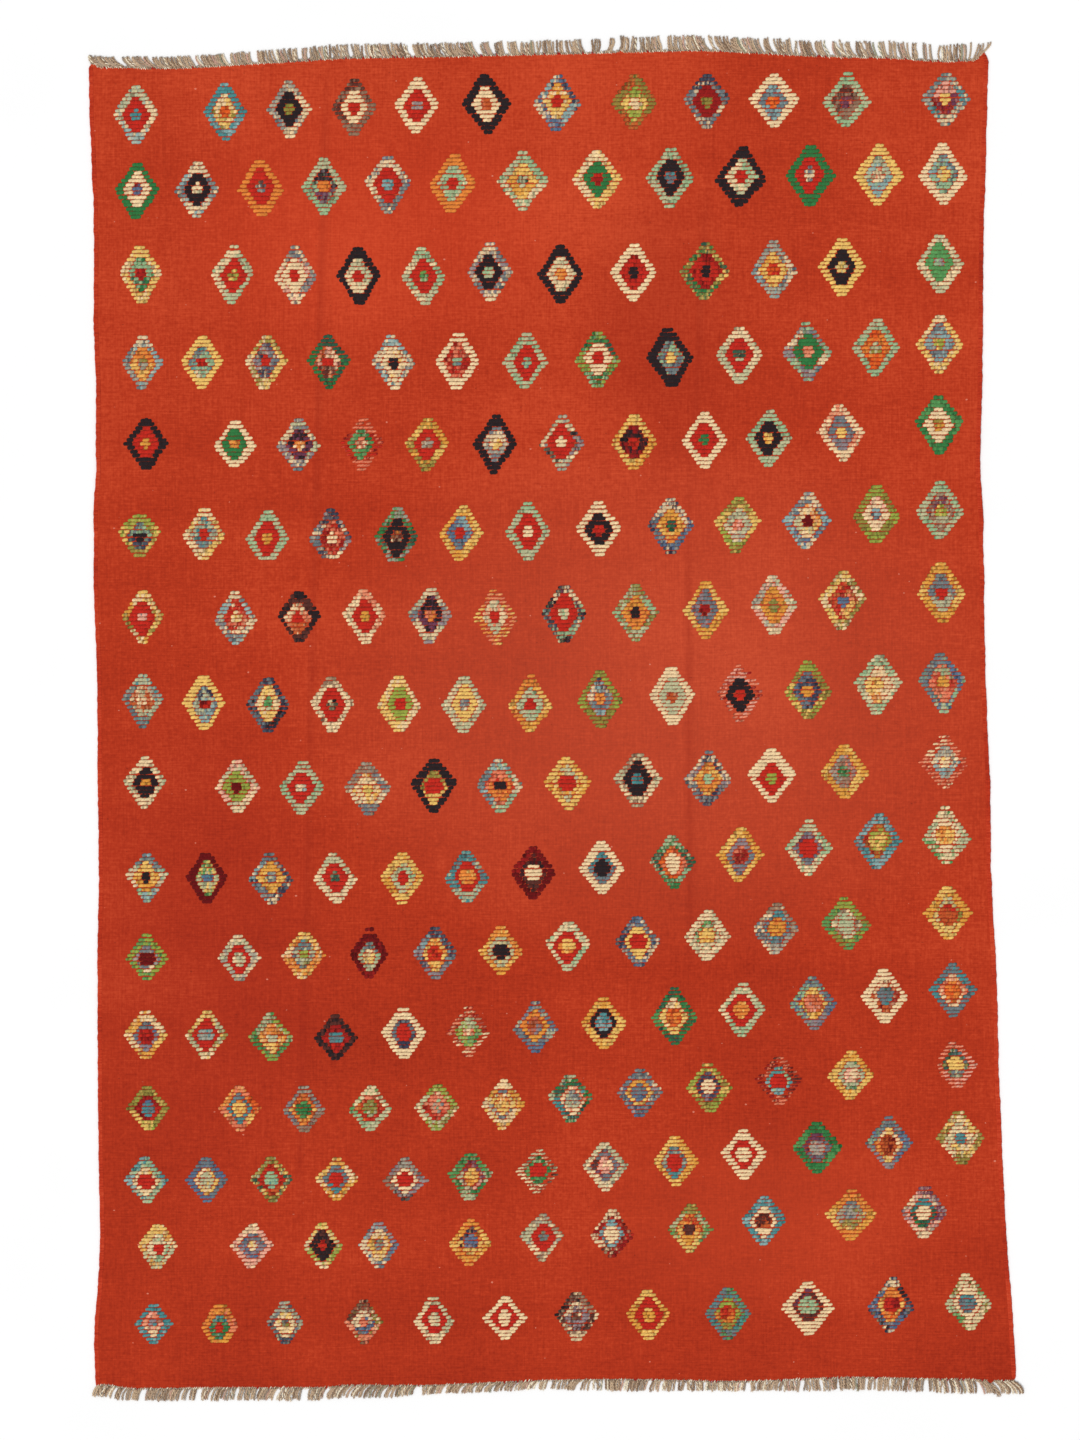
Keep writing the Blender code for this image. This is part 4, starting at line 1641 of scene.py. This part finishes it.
# Lozenges that stand off their row's smooth curve, by row and number: how far nearer, in mm.
NEARER = {
    3: {6: -7.0},
    5: {10: 4.2, 11: 2.2},
    6: {1: 2.2, 3: 10.0, 4: 7.0, 5: 5.0, 10: 4.4, 11: 4.4},
    7: {2: 2.9, 6: 4.4, 10: -2.2},
    8: {1: -2.2, 3: 4.0, 4: 2.2, 6: 3.1, 7: 5.5, 12: -4.0},
    9: {1: -3.7, 2: 2.2, 3: 3.5, 4: 3.3, 5: -2.2, 9: 3.5, 10: 4.4, 11: 5.7},
    10: {3: 2.2, 10: -3.3, 11: -3.7, 12: -3.7, 13: -2.2},
    11: {2: 3.3, 9: -2.2, 10: -3.7, 12: -2.2},
    12: {3: 4.4, 4: 6.6, 8: 3.3},
    13: {3: 2.6, 9: 3.7, 10: 2.2, 11: 6.6, 12: 5.5},
    14: {7: -2.2, 10: -2.2, 11: -3.3},
    15: {7: 2.2, 8: 2.2, 9: -4.4, 10: -3.7},
    16: {2: 4.4, 6: -2.6, 7: -2.2, 9: 3.7},
}

# Lozenges that stand beside their column, by row and number: how far to the right, in mm.
ASIDE = {
    1: {1: 4.8, 2: -3.7, 3: -2.6, 4: -1.0, 5: -5.9, 6: -2.2, 7: -6.6, 10: -6.6},
    5: {1: 6.6, 6: 4.4, 10: -8.8},
    6: {1: -8.8, 10: -4.4},
    9: {**dict.fromkeys(range(1, 13), 2.6), 10: -6.0},
    10: {1: 2.2, 12: -2.2, 13: 4.4},
    11: {1: 2.2},
    13: {1: 4.4, 12: -2.2},
}


def noted(table: dict[int, dict[int, float]], row: int, number: int, usual: float) -> float:
    """Return what a table says of a lozenge, or what is usual where it says nothing."""
    return table.get(row, {}).get(number, usual)


@dataclass
class BrocadeRow:
    """A row of lozenges, worked in two stretches of the loom."""

    shop: Workshop
    number: int
    lozenges: list[Lozenge]

    def build(self) -> list[Piece]:
        """Work the row.

        Returns:
            Its two stretches.
        """
        middle = (len(self.lozenges) + 1) // 2
        halves = (self.lozenges[:middle], self.lozenges[middle:])
        return [self.stretch(side, half) for side, half in zip(Side, halves)]

    def stretch(self, side: Side, lozenges: list[Lozenge]) -> Piece:
        """Work the lozenges on one side of the row.

        Args:
            side: The side.
            lozenges: Its lozenges.

        Returns:
            The lozenges as one piece.
        """
        rng = np.random.default_rng(100 * self.number + side.value)
        points, tones, faces = [], [], []
        start = 0
        for lozenge in lozenges:
            own_points, own_tones, own_faces = lozenge.stitches(self.shop, rng).forms().joined()
            points.append(own_points)
            tones.append(own_tones)
            faces.extend([i + start for i in face] for face in own_faces)
            start += len(own_points)
        name = f"brocade_row{self.number:02d}_{side.name.lower()}"
        return self.shop.piece(
            name, np.concatenate(points), faces, BROCADE_WOOL, "brocade_wool", np.concatenate(tones)
        )


@dataclass(frozen=True)
class RowPlace:
    """Where a row of lozenges lies along the rug at four places across it."""

    left: float
    inner_left: float
    inner_right: float
    right: float
    length_left: float
    length_right: float
    spread: float = 1.0  # how far its columns stand from the middle, to where they should
    wider: float = 1.0  # its lozenges, than the others


@dataclass
class Brocade:
    """All the lozenges: where the columns and rows set them out, and how they are worked."""

    shop: Workshop
    width_left: float = 0.0955
    width_right: float = 0.1090
    band_pitch: tuple[float, float] = (0.0088, 0.0077)  # in the first and in the last row
    stations_along: tuple[float, ...] = (1.181, 0.035, -1.016)
    stations_across: tuple[float, ...] = (-0.895, -0.334, 0.260, 0.865)
    columns: tuple[tuple[float, float, float], ...] = (
        (-0.913, -0.900, -0.893), (-0.781, -0.766, -0.759), (-0.640, -0.625, -0.616),
        (-0.502, -0.484, -0.473), (-0.361, -0.337, -0.323), (-0.218, -0.194, -0.180),
        (-0.064, -0.048, -0.031), (0.099, 0.106, 0.117), (0.260, 0.264, 0.273),
        (0.416, 0.414, 0.422), (0.568, 0.563, 0.583), (0.719, 0.717, 0.741),
        (0.860, 0.858, 0.898),
    )  # across, at a column's far, middle and near stations
    rows: tuple[RowPlace, ...] = tuple(RowPlace(*row) for row in (
        (1.327, 1.346, 1.356, 1.360, 0.130, 0.118, 1.007, 1.01),
        (1.159, 1.173, 1.188, 1.197, 0.124, 0.137, 1.0, 1.045),
        (0.975, 0.972, 0.981, 0.999, 0.127, 0.129, 0.993),
        (0.782, 0.783, 0.792, 0.823, 0.117, 0.130, 0.992),
        (0.603, 0.601, 0.609, 0.645, 0.112, 0.130, 0.992),
        (0.403, 0.405, 0.422, 0.458, 0.112, 0.129, 0.994),
        (0.222, 0.224, 0.234, 0.277, 0.118, 0.133, 0.998),
        (0.035, 0.031, 0.048, 0.077, 0.120, 0.133),
        (-0.145, -0.152, -0.134, -0.097, 0.117, 0.120, 1.0, 1.045),
        (-0.352, -0.352, -0.317, -0.260, 0.109, 0.126, 0.995),
        (-0.526, -0.519, -0.486, -0.431, 0.100, 0.118, 0.996),
        (-0.697, -0.695, -0.656, -0.598, 0.105, 0.121, 0.998),
        (-0.858, -0.858, -0.818, -0.757, 0.099, 0.110, 0.998),
        (-1.016, -1.014, -0.975, -0.924, 0.098, 0.116),
        (-1.162, -1.158, -1.122, -1.085, 0.098, 0.113, 1.0, 0.97),
        (-1.333, -1.327, -1.311, -1.284, 0.088, 0.125, 1.0, 0.98),
    ))
    last_rows: tuple[tuple[float, ...], ...] = (
        (-0.867, -0.660, -0.504, -0.381, -0.180, -0.022, 0.132, 0.304, 0.466, 0.658, 0.818),
        (-0.876, -0.730, -0.587, -0.414, -0.260, -0.103, 0.055, 0.211, 0.387, 0.563, 0.746,
         0.915),
    )  # across: the last two rows are set out afresh, and stand on no column
    seed: int = 700

    def places_across(self, index: int) -> list[float]:
        """Return where the lozenges of a row lie across the rug.

        Args:
            index: The row's place, from 0 at the far end.

        Returns:
            Their places. Every other row has one on each column. The rows between them
            keep the first and last column, and otherwise stand between two columns.
        """
        on_columns = len(self.rows) - len(self.last_rows)
        if index >= on_columns:
            return list(self.last_rows[index - on_columns])
        at = np.array(self.rows[index].inner_left)
        columns = [float(smooth_curve(self.stations_along, column, at)) for column in self.columns]
        columns = [column * self.rows[index].spread for column in columns]
        if index % 2:
            return columns
        between = [(a + b) / 2 for a, b in zip(columns[1:-1], columns[2:-1])]
        return [columns[0], *between, columns[-1]]

    def row(self, index: int) -> BrocadeRow:
        """Set out one row of lozenges, with the yarns that the chart gives them.

        Args:
            index: The row's place, from 0 at the far end.

        Returns:
            The row.
        """
        place, row = self.rows[index], index + 1
        heights = (place.left, place.inner_left, place.inner_right, place.right)
        blends = [
            tuple(YarnBlend.named(part) for part in lozenge.split("/"))
            for lozenge in CHART[index].replace("\n", " ").split(",")
        ]
        rng = np.random.default_rng(self.seed + index)
        pitch = float(np.interp(index, (0, len(self.rows) - 1), self.band_pitch))
        lozenges = []
        span = self.stations_across[-1] - self.stations_across[0]
        for number, (across, yarns) in enumerate(zip(self.places_across(index), blends), 1):
            share = (across - self.stations_across[0]) / span
            hand = replace(Hand.usual(rng), **ODD_HANDS.get((row, number), {}))
            width = self.width_left + share * (self.width_right - self.width_left)
            length = place.length_left + share * (place.length_right - place.length_left)
            along = float(smooth_curve(self.stations_across, heights, np.array(across)))
            lozenges.append(Lozenge(
                across=across + noted(ASIDE, row, number, 0.0) / 1000,
                along=along - noted(NEARER, row, number, 0.0) / 1000,
                width=width * place.wider * noted(WIDER, row, number, 1.0),
                length=length * noted(LONGER, row, number, 1.0),
                yarns=yarns,
                hand=hand,
                band_pitch=pitch,
            ))
        return BrocadeRow(self.shop, row, lozenges)

    def build(self) -> list[Piece]:
        """Work every row, and return the pieces."""
        return [piece for index in range(len(self.rows)) for piece in self.row(index).build()]


# ------------------------------------------------------------
# The fringes


@dataclass
class TwinedRow:
    """The row of pale knots that locks the weave at one end."""

    shop: Workshop
    end: End
    first: float
    last: float
    knot_pitch: float = 0.0042
    inset: float = 0.002
    stand_off: float = 0.0014  # from the cloth's edge to the knots
    base: float = 0.0010
    half_lengths: tuple[float, float] = (0.0032, 0.0048)
    half_widths: tuple[float, float] = (0.0013, 0.0019)
    rises: tuple[float, float] = (0.0027, 0.0033)
    slants: tuple[float, float] = (0.85, 1.25)
    wool_shares: tuple[float, ...] = (0.22, 0.30, 0.10, 0.08, 0.24, 0.04, 0.02)
    unevenness: float = 0.08  # how far they are lighter or darker
    red_share: float = 0.10  # of the knots, which caught a red yarn
    red_gain: float = 1.4
    strays: tuple[float, float] = (0.0004, 0.0008)  # across and along
    # painted shade at the knots' feet, where they meet the cloth
    shadow: Colour = (0.10, 0.07, 0.05)
    seed: int = 61

    def build(self) -> Piece:
        """Twine the row.

        Returns:
            The row.
        """
        rng = np.random.default_rng(self.seed + self.end.value)
        count = int((self.last - self.first) / self.knot_pitch)
        across = np.linspace(self.first + self.inset, self.last - self.inset, count)
        across = across + rng.normal(0, self.strays[0], count)
        outward = self.end.value
        along = self.shop.plan.end(self.end).out(across) + outward * self.stand_off
        along = along + rng.normal(0, self.strays[1], count)
        tones = np.array([tone.colour for tone in WarpTone])
        picks = rng.choice(len(tones), count, p=self.wool_shares)
        tones = tones[picks] * rng.normal(1.0, self.unevenness, (count, 1))
        red = rng.random(count) < self.red_share
        tones[red] = np.array(Yarn.CRIMSON.colour) * self.red_gain
        knots = Stitches(
            across=across,
            along=along,
            base=np.full(count, self.base),
            half_length=rng.uniform(*self.half_lengths, count),
            half_width=rng.uniform(*self.half_widths, count),
            rise=rng.uniform(*self.rises, count),
            slant=-outward * rng.uniform(*self.slants, count),
            tones=np.repeat(tones[:, None], 3, axis=1),
            shadow=self.shadow,
        )
        points, all_tones, faces = knots.forms().joined()
        name = f"twined_row_{self.end.name.lower()}"
        return self.shop.piece(name, points, faces, FRINGE_WOOL, "fringe_wool", all_tones)


@dataclass
class Fringe:
    """The cut warps of one end: two-ply strands that cling together in clumps."""

    shop: Workshop
    end: End
    first: float
    last: float
    shapes: tuple[tuple[float, float, float], ...]  # across, reach and lean
    gaps: tuple[tuple[float, float], ...]  # where clumps part, and how wide the gap is
    gap_share: float = 0.90  # how much of a gap is open at the roots
    wide_gap: float = 0.0055  # a wider gap opens by half a strand more
    inset: float = 0.002
    root_out: float = 0.0022  # from the cloth's edge to the strands' roots
    height: float = 0.0023
    arch: float = 0.0008  # how far up a strand bends at most
    strand_pitch: float = 0.0042
    strand_width: float = 0.0050
    ply_radius: float = 0.00150
    ply_offset: float = 0.00120
    twist_pitch: float = 0.013
    sections: int = 12
    sides: int = 5
    squeeze: float = 0.05  # how far strands draw together to their clump's middle
    most_squeeze: float = 0.001
    clump_lean: float = 0.05
    root_stray: float = 0.0006
    uneven_reach: float = 0.05
    uneven_lean: float = 0.035
    wobble: float = 0.0009
    sweep: float = 2.1  # how early a strand leans over: 1 is evenly
    stray_share: float = 0.04  # of the strands, which lie across the others
    stray_lean: float = 0.35
    stray_arch: float = 0.0012
    fray: float = 0.55  # how far the plies spring apart at their tips
    flatness: float = 0.55  # how high the plies wind, to how wide
    stations: tuple[float, ...] = (0, 0.1, 0.8, 1)  # along a ply, for its thickness there
    thickness: tuple[float, ...] = (0.8, 1.0, 0.95, 0.5)
    wool_shares: tuple[float, ...] = (0.36, 0.20, 0.18, 0.10, 0.09, 0.05, 0.02)
    alike: float = 0.55  # the share of strands that keep one wool in both plies
    unevenness: float = 0.10  # how far a ply is lighter or darker
    # painted shade on the lower side of each ply
    under_shade: float = 0.68  # how light the lower side is
    seed: int = 71

    def roots(self, rng: np.random.Generator) -> tuple[Array, Array]:
        """Set out the strands.

        Args:
            rng: The random numbers.

        Returns:
            Where they leave the twined row, and the middle of each one's clump.
        """
        count = int((self.last - self.first) / self.strand_pitch)
        roots = np.linspace(self.first + self.inset, self.last - self.inset, count)
        roots = roots + rng.normal(0, self.root_stray, count)
        places, widths = np.array(self.gaps).T
        opened = np.where(widths > self.wide_gap, self.strand_width / 2, 0)
        widths = widths * self.gap_share + opened
        off = np.abs(roots[:, None] - places[None, :]) < widths[None, :] / 2
        roots = roots[~off.any(axis=1)]
        clump = np.searchsorted(places, roots)
        middles = np.array([roots[clump == number].mean() for number in clump])
        return roots, middles

    def paths(self, rng: np.random.Generator) -> Array:
        """Lay the strands.

        Args:
            rng: The random numbers.

        Returns:
            Each strand's middle line, as points from its root to its tip.
        """
        roots, middles = self.roots(rng)
        count = len(roots)
        stations, reaches, leans = (np.array(column) for column in zip(*self.shapes))
        reach = smooth_curve(stations, reaches, roots)
        reach = reach * rng.normal(1.0, self.uneven_reach, count)
        lean = smooth_curve(stations, leans, roots) + rng.normal(0, self.uneven_lean, count)
        clump_starts, clump = np.unique(middles, return_inverse=True)
        lean = lean + rng.normal(0, self.clump_lean, len(clump_starts))[clump]
        stray = rng.random(count) < self.stray_share
        lean = lean + stray * rng.normal(0, self.stray_lean, count)
        t = np.linspace(0, 1, self.sections)[None, :]
        sweep = 1 - (1 - t) ** self.sweep
        wobble = rng.normal(0, self.wobble, (count, 1))
        wobble = wobble * np.sin(t * np.pi * rng.uniform(1, 2.4, (count, 1)))
        across = roots[:, None] + (lean * reach)[:, None] * sweep + wobble
        drawn = np.clip(self.squeeze * (middles - roots), -self.most_squeeze, self.most_squeeze)
        across = across + drawn[:, None] * t
        edge = self.shop.plan.end(self.end).out(roots)[:, None]
        out = self.root_out + (reach[:, None] - self.root_out) * t
        along = edge + self.end.value * out
        height = self.height + self.arch * np.sin(t * np.pi) * rng.uniform(0, 1, (count, 1))
        height = height + stray[:, None] * self.stray_arch * np.sin(t * np.pi)
        return np.stack([across, along, height], axis=-1)

    def plies(self, rng: np.random.Generator) -> Forms:
        """Twist two plies round each middle line.

        Args:
            rng: The random numbers.

        Returns:
            The plies as forms to be joined.
        """
        paths = self.paths(rng)
        count = len(paths)
        t = np.linspace(0, 1, self.sections)
        tangent = np.gradient(paths, axis=1)
        tangent /= np.linalg.norm(tangent, axis=2, keepdims=True)
        beside = np.stack([tangent[..., 1], -tangent[..., 0], np.zeros(tangent.shape[:2])], axis=-1)
        length = np.linalg.norm(np.diff(paths, axis=1), axis=2).sum(axis=1)
        turns = length[:, None] / self.twist_pitch * t[None, :]
        turns = turns + rng.uniform(0, 1, (count, 1))
        fray = 1 + self.fray * np.clip((t - 0.75) / 0.25, 0, 1)
        taper = np.interp(t, self.stations, self.thickness)
        around = np.arange(self.sides) / self.sides * 2 * np.pi
        rings = []
        for ply in (0.0, 0.5):
            angle = 2 * np.pi * (turns + ply)
            side = np.cos(angle) * self.ply_offset * fray[None, :]
            up = np.sin(angle) * self.ply_offset * self.flatness
            centre = paths + beside * side[..., None]
            centre[..., 2] += up
            radius = self.ply_radius * taper[None, :, None, None]
            ring = beside[:, :, None, :] * np.cos(around)[None, None, :, None] * radius
            ring = centre[:, :, None, :] + ring
            ring[..., 2] += np.sin(around)[None, None, :] * radius[..., 0] * 0.9
            rings.append(ring.reshape(count, -1, 3))
        points = np.concatenate(rings)
        points[..., 2] = np.maximum(points[..., 2], 0.0001)
        return Forms(points, self.tones(rng, count), self.faces())

    def tones(self, rng: np.random.Generator, count: int) -> Array:
        """Choose the plies' wools, with painted shade towards their roots and on their lower sides.

        Args:
            rng: The random numbers.
            count: How many strands there are.

        Returns:
            A colour for every point of every first ply, then of every second one.
        """
        wools = np.array([tone.colour for tone in WarpTone])
        first = rng.choice(len(wools), count, p=self.wool_shares)
        alike = rng.random(count) < self.alike
        second = np.where(alike, first, rng.choice(len(wools), count, p=self.wool_shares))
        base = wools[np.concatenate([first, second])]
        base = base * rng.normal(1.0, self.unevenness, (2 * count, 1))
        t = np.repeat(np.linspace(0, 1, self.sections), self.sides)
        # painted shade: darker towards the roots and on each ply's lower side
        shade = np.interp(t, (0, 0.12, 0.3, 1), (0.82, 0.95, 1.0, 1.0))
        lower = np.sin(np.arange(self.sides) / self.sides * 2 * np.pi) < -0.3
        shade = shade * np.where(np.tile(lower, self.sections), self.under_shade, 1.0)
        return np.clip(base[:, None, :] * shade[None, :, None], 0, 1)

    def faces(self) -> tuple[tuple[int, ...], ...]:
        """Number one ply's points.

        Returns:
            The faces round it and over its two ends.
        """
        faces = []
        for section in range(self.sections - 1):
            for i in range(self.sides):
                a, b = section * self.sides + i, section * self.sides + (i + 1) % self.sides
                faces.append((a, a + self.sides, b + self.sides, b)
                             if self.end is End.FAR else (a, b, b + self.sides, a + self.sides))
        root = tuple(range(self.sides))
        tip = tuple(i + (self.sections - 1) * self.sides for i in root)
        caps = (root, tip[::-1]) if self.end is End.FAR else (root[::-1], tip)
        return (*faces, *caps)

    def build(self) -> Piece:
        """Twist the strands.

        Returns:
            The strands as one piece.
        """
        rng = np.random.default_rng(self.seed + self.end.value)
        points, tones, faces = self.plies(rng).joined()
        name = self.end.name.lower()
        made = self.shop.piece(
            f"warp_strands_{name}", points, faces, FRINGE_WOOL, "fringe_wool", tones
        )
        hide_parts(f"fringe_{name}")
        return made


FAR_SHAPES = (
    (-1.014, 0.020, -0.25), (-1.000, 0.022, -0.50), (-0.985, 0.023, -0.72),
    (-0.933, 0.025, -0.85), (-0.867, 0.026, -0.75), (-0.779, 0.026, -0.33),
    (-0.650, 0.028, -0.24), (-0.552, 0.029, -0.12), (-0.440, 0.030, -0.20), (-0.347, 0.030, -0.30),
    (-0.260, 0.029, -0.45), (-0.156, 0.030, -0.33), (-0.026, 0.030, -0.12), (0.075, 0.030, -0.15),
    (0.115, 0.033, 0.28), (0.160, 0.033, 0.12), (0.240, 0.033, -0.11), (0.300, 0.033, -0.20),
    (0.350, 0.033, -0.42), (0.495, 0.034, -0.36), (0.546, 0.033, -0.15), (0.634, 0.034, -0.38),
    (0.720, 0.036, -0.20), (0.812, 0.037, -0.12), (0.880, 0.038, 0.00), (0.922, 0.037, 0.20),
    (0.939, 0.032, 0.60), (0.947, 0.024, 1.00),
)
NEAR_SHAPES = (
    (-1.000, 0.027, -0.55), (-0.940, 0.027, -0.40), (-0.895, 0.027, -0.22), (-0.800, 0.028, -0.35),
    (-0.773, 0.028, -0.18), (-0.740, 0.028, -0.45), (-0.690, 0.028, -0.16), (-0.640, 0.028, -0.35),
    (-0.597, 0.028, -0.36), (-0.541, 0.028, -0.14), (-0.490, 0.028, -0.35), (-0.438, 0.029, -0.65),
    (-0.348, 0.028, -0.52), (-0.289, 0.022, -0.38), (-0.231, 0.021, -0.50), (-0.150, 0.022, -0.60),
    (-0.075, 0.021, -0.60), (-0.003, 0.021, -0.30), (0.029, 0.022, -0.10), (0.070, 0.024, -0.60),
    (0.090, 0.024, -0.15), (0.114, 0.026, -0.05), (0.160, 0.026, -0.15), (0.243, 0.025, -0.22),
    (0.352, 0.022, -0.05), (0.431, 0.022, -0.10), (0.475, 0.023, -0.25), (0.550, 0.028, 0.00),
    (0.628, 0.029, 0.05), (0.692, 0.029, -0.10), (0.774, 0.028, -0.15), (0.822, 0.029, 0.00),
    (0.871, 0.032, 0.20), (0.930, 0.031, 0.30), (0.975, 0.030, 0.55), (1.016, 0.030, 0.70),
)


def parted(places: dict[float, tuple[float, ...]]) -> tuple[tuple[float, float], ...]:
    """Return where clumps part and how wide each gap is, from the places for each width."""
    return tuple(sorted((at, width) for width, row in places.items() for at in row))


FAR_GAPS = parted({
    0.0030: (-0.708, -0.686, -0.616, -0.605, -0.484, -0.262, -0.235, -0.125, -0.068, -0.053,
        0.009, 0.169, 0.471, 0.684, 0.741, 0.790, 0.913),
    0.0040: (-0.579, -0.348, 0.191, 0.431, 0.585, 0.829, 0.923),
    0.0045: (-0.867,),
    0.0050: (0.029, 0.042, 0.400, 0.546, 0.673),
    0.0060: (-0.409, -0.097, 0.367, 0.722, 0.763),
    0.0070: (-0.440, 0.350),
    0.0080: (-0.650, -0.305, -0.024, 0.618, 0.812),
    0.0090: (-0.552, 0.079, 0.139, 0.493),
    0.0100: (-0.933, 0.846),
    0.0110: (-0.156,),
    0.0130: (-0.779, 0.250),
    0.0140: (0.110,),
})
NEAR_GAPS = parted({
    0.0030: (-0.955, -0.937, -0.924, -0.865, -0.843, -0.744, -0.675, -0.438, -0.399, -0.330,
        -0.161, -0.139, -0.075, -0.064, -0.026, 0.013, 0.029, 0.295, 0.337, 0.352, 0.502, 0.590,
        0.667, 0.715, 0.746, 0.774, 0.895, 0.931),
    0.0040: (-0.807, -0.796, -0.642, -0.348, -0.189, 0.090, 0.106, 0.114, 0.231, 0.243, 0.475,
        0.796, 0.871),
    0.0050: (-0.491, -0.097, 0.161, 0.568, 0.628),
    0.0060: (-0.690, -0.597, -0.003, 0.070, 0.215, 0.550, 0.692),
    0.0070: (0.276, 0.822),
    0.0080: (-0.773, -0.231, 0.431),
    0.0120: (-0.895, -0.541, -0.289),
})


# ------------------------------------------------------------
# The studio


@dataclass
class Studio:
    """A white floor, soft light from above and a camera that looks straight down."""

    shop: Workshop
    floor_size: float = 240.0
    camera_across: float = -0.0264
    camera_along: float = -0.0044
    camera_height: float = 7.0
    framed_length: float = 3.168
    sky_strength: float = 0.64
    key_strength: float = 1.55
    key_angle: float = 0.45
    key_tilt: tuple[float, float, float] = (0.55, -0.40, 0.0)

    def floor(self) -> Piece:
        """Lay the floor.

        Returns:
            The floor.
        """
        half = self.floor_size / 2
        mesh = bpy.data.meshes.new("floor")
        corners = [(-half, -half, 0), (half, -half, 0), (half, half, 0), (-half, half, 0)]
        mesh.from_pydata(corners, [], [(0, 1, 2, 3)])
        mesh.materials.append(FloorFinish().material())
        floor = bpy.data.objects.new("floor", mesh)
        bpy.context.scene.collection.objects.link(floor)
        return floor

    def light(self) -> None:
        """Light the room evenly, with a broad lamp that comes from the far left."""
        world = bpy.data.worlds.new("studio")
        world.use_nodes = True
        background = world.node_tree.nodes["Background"]
        background.inputs["Color"].default_value = (1.0, 1.0, 1.0, 1.0)
        background.inputs["Strength"].default_value = self.sky_strength
        bpy.context.scene.world = world
        lamp = bpy.data.lights.new("key", "SUN")
        lamp.energy = self.key_strength
        lamp.angle = self.key_angle
        key = bpy.data.objects.new("key", lamp)
        key.rotation_euler = self.key_tilt
        bpy.context.scene.collection.objects.link(key)
        bpy.context.scene.view_settings.view_transform = "Standard"

    def camera(self) -> None:
        """Hang the camera over the rug, so that it frames what the photo frames."""
        data = bpy.data.cameras.new("camera")
        data.sensor_fit = "VERTICAL"
        data.sensor_height = 36.0
        data.lens = data.sensor_height * self.camera_height / self.framed_length
        camera = bpy.data.objects.new("camera", data)
        place = np.array((self.camera_across, self.camera_along, self.camera_height))
        camera.location = place + self.shop.shift
        bpy.context.scene.collection.objects.link(camera)
        bpy.context.scene.camera = camera


def main() -> None:
    """Build the rug on its floor and report each piece."""
    logging.basicConfig(level=logging.INFO, format="%(name)s: %(message)s")
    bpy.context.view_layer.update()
    shop = Workshop.in_frame(RugPlan(), ClothLie())

    studio = Studio(shop)
    floor = studio.floor()
    studio.light()
    studio.camera()

    cloth = GroundCloth(shop).build()
    pieces = [Selvage(shop, Side.LEFT).build(), Selvage(shop, Side.RIGHT, ear=0.020).build()]
    pieces += Brocade(shop).build()

    # Each end: where its fringe starts and stops across, and how its strands lie.
    ends = (
        (End.FAR, -1.015, 0.944, FAR_SHAPES, FAR_GAPS),
        (End.NEAR, -0.999, 1.016, NEAR_SHAPES, NEAR_GAPS),
    )
    for end, first, last, shapes, gaps in ends:
        pieces.append(TwinedRow(shop, end, first, last).build())
        pieces.append(Fringe(shop, end, first, last, shapes, gaps).build())
    shop.plan.area()


if __name__ == "__main__":
    main()
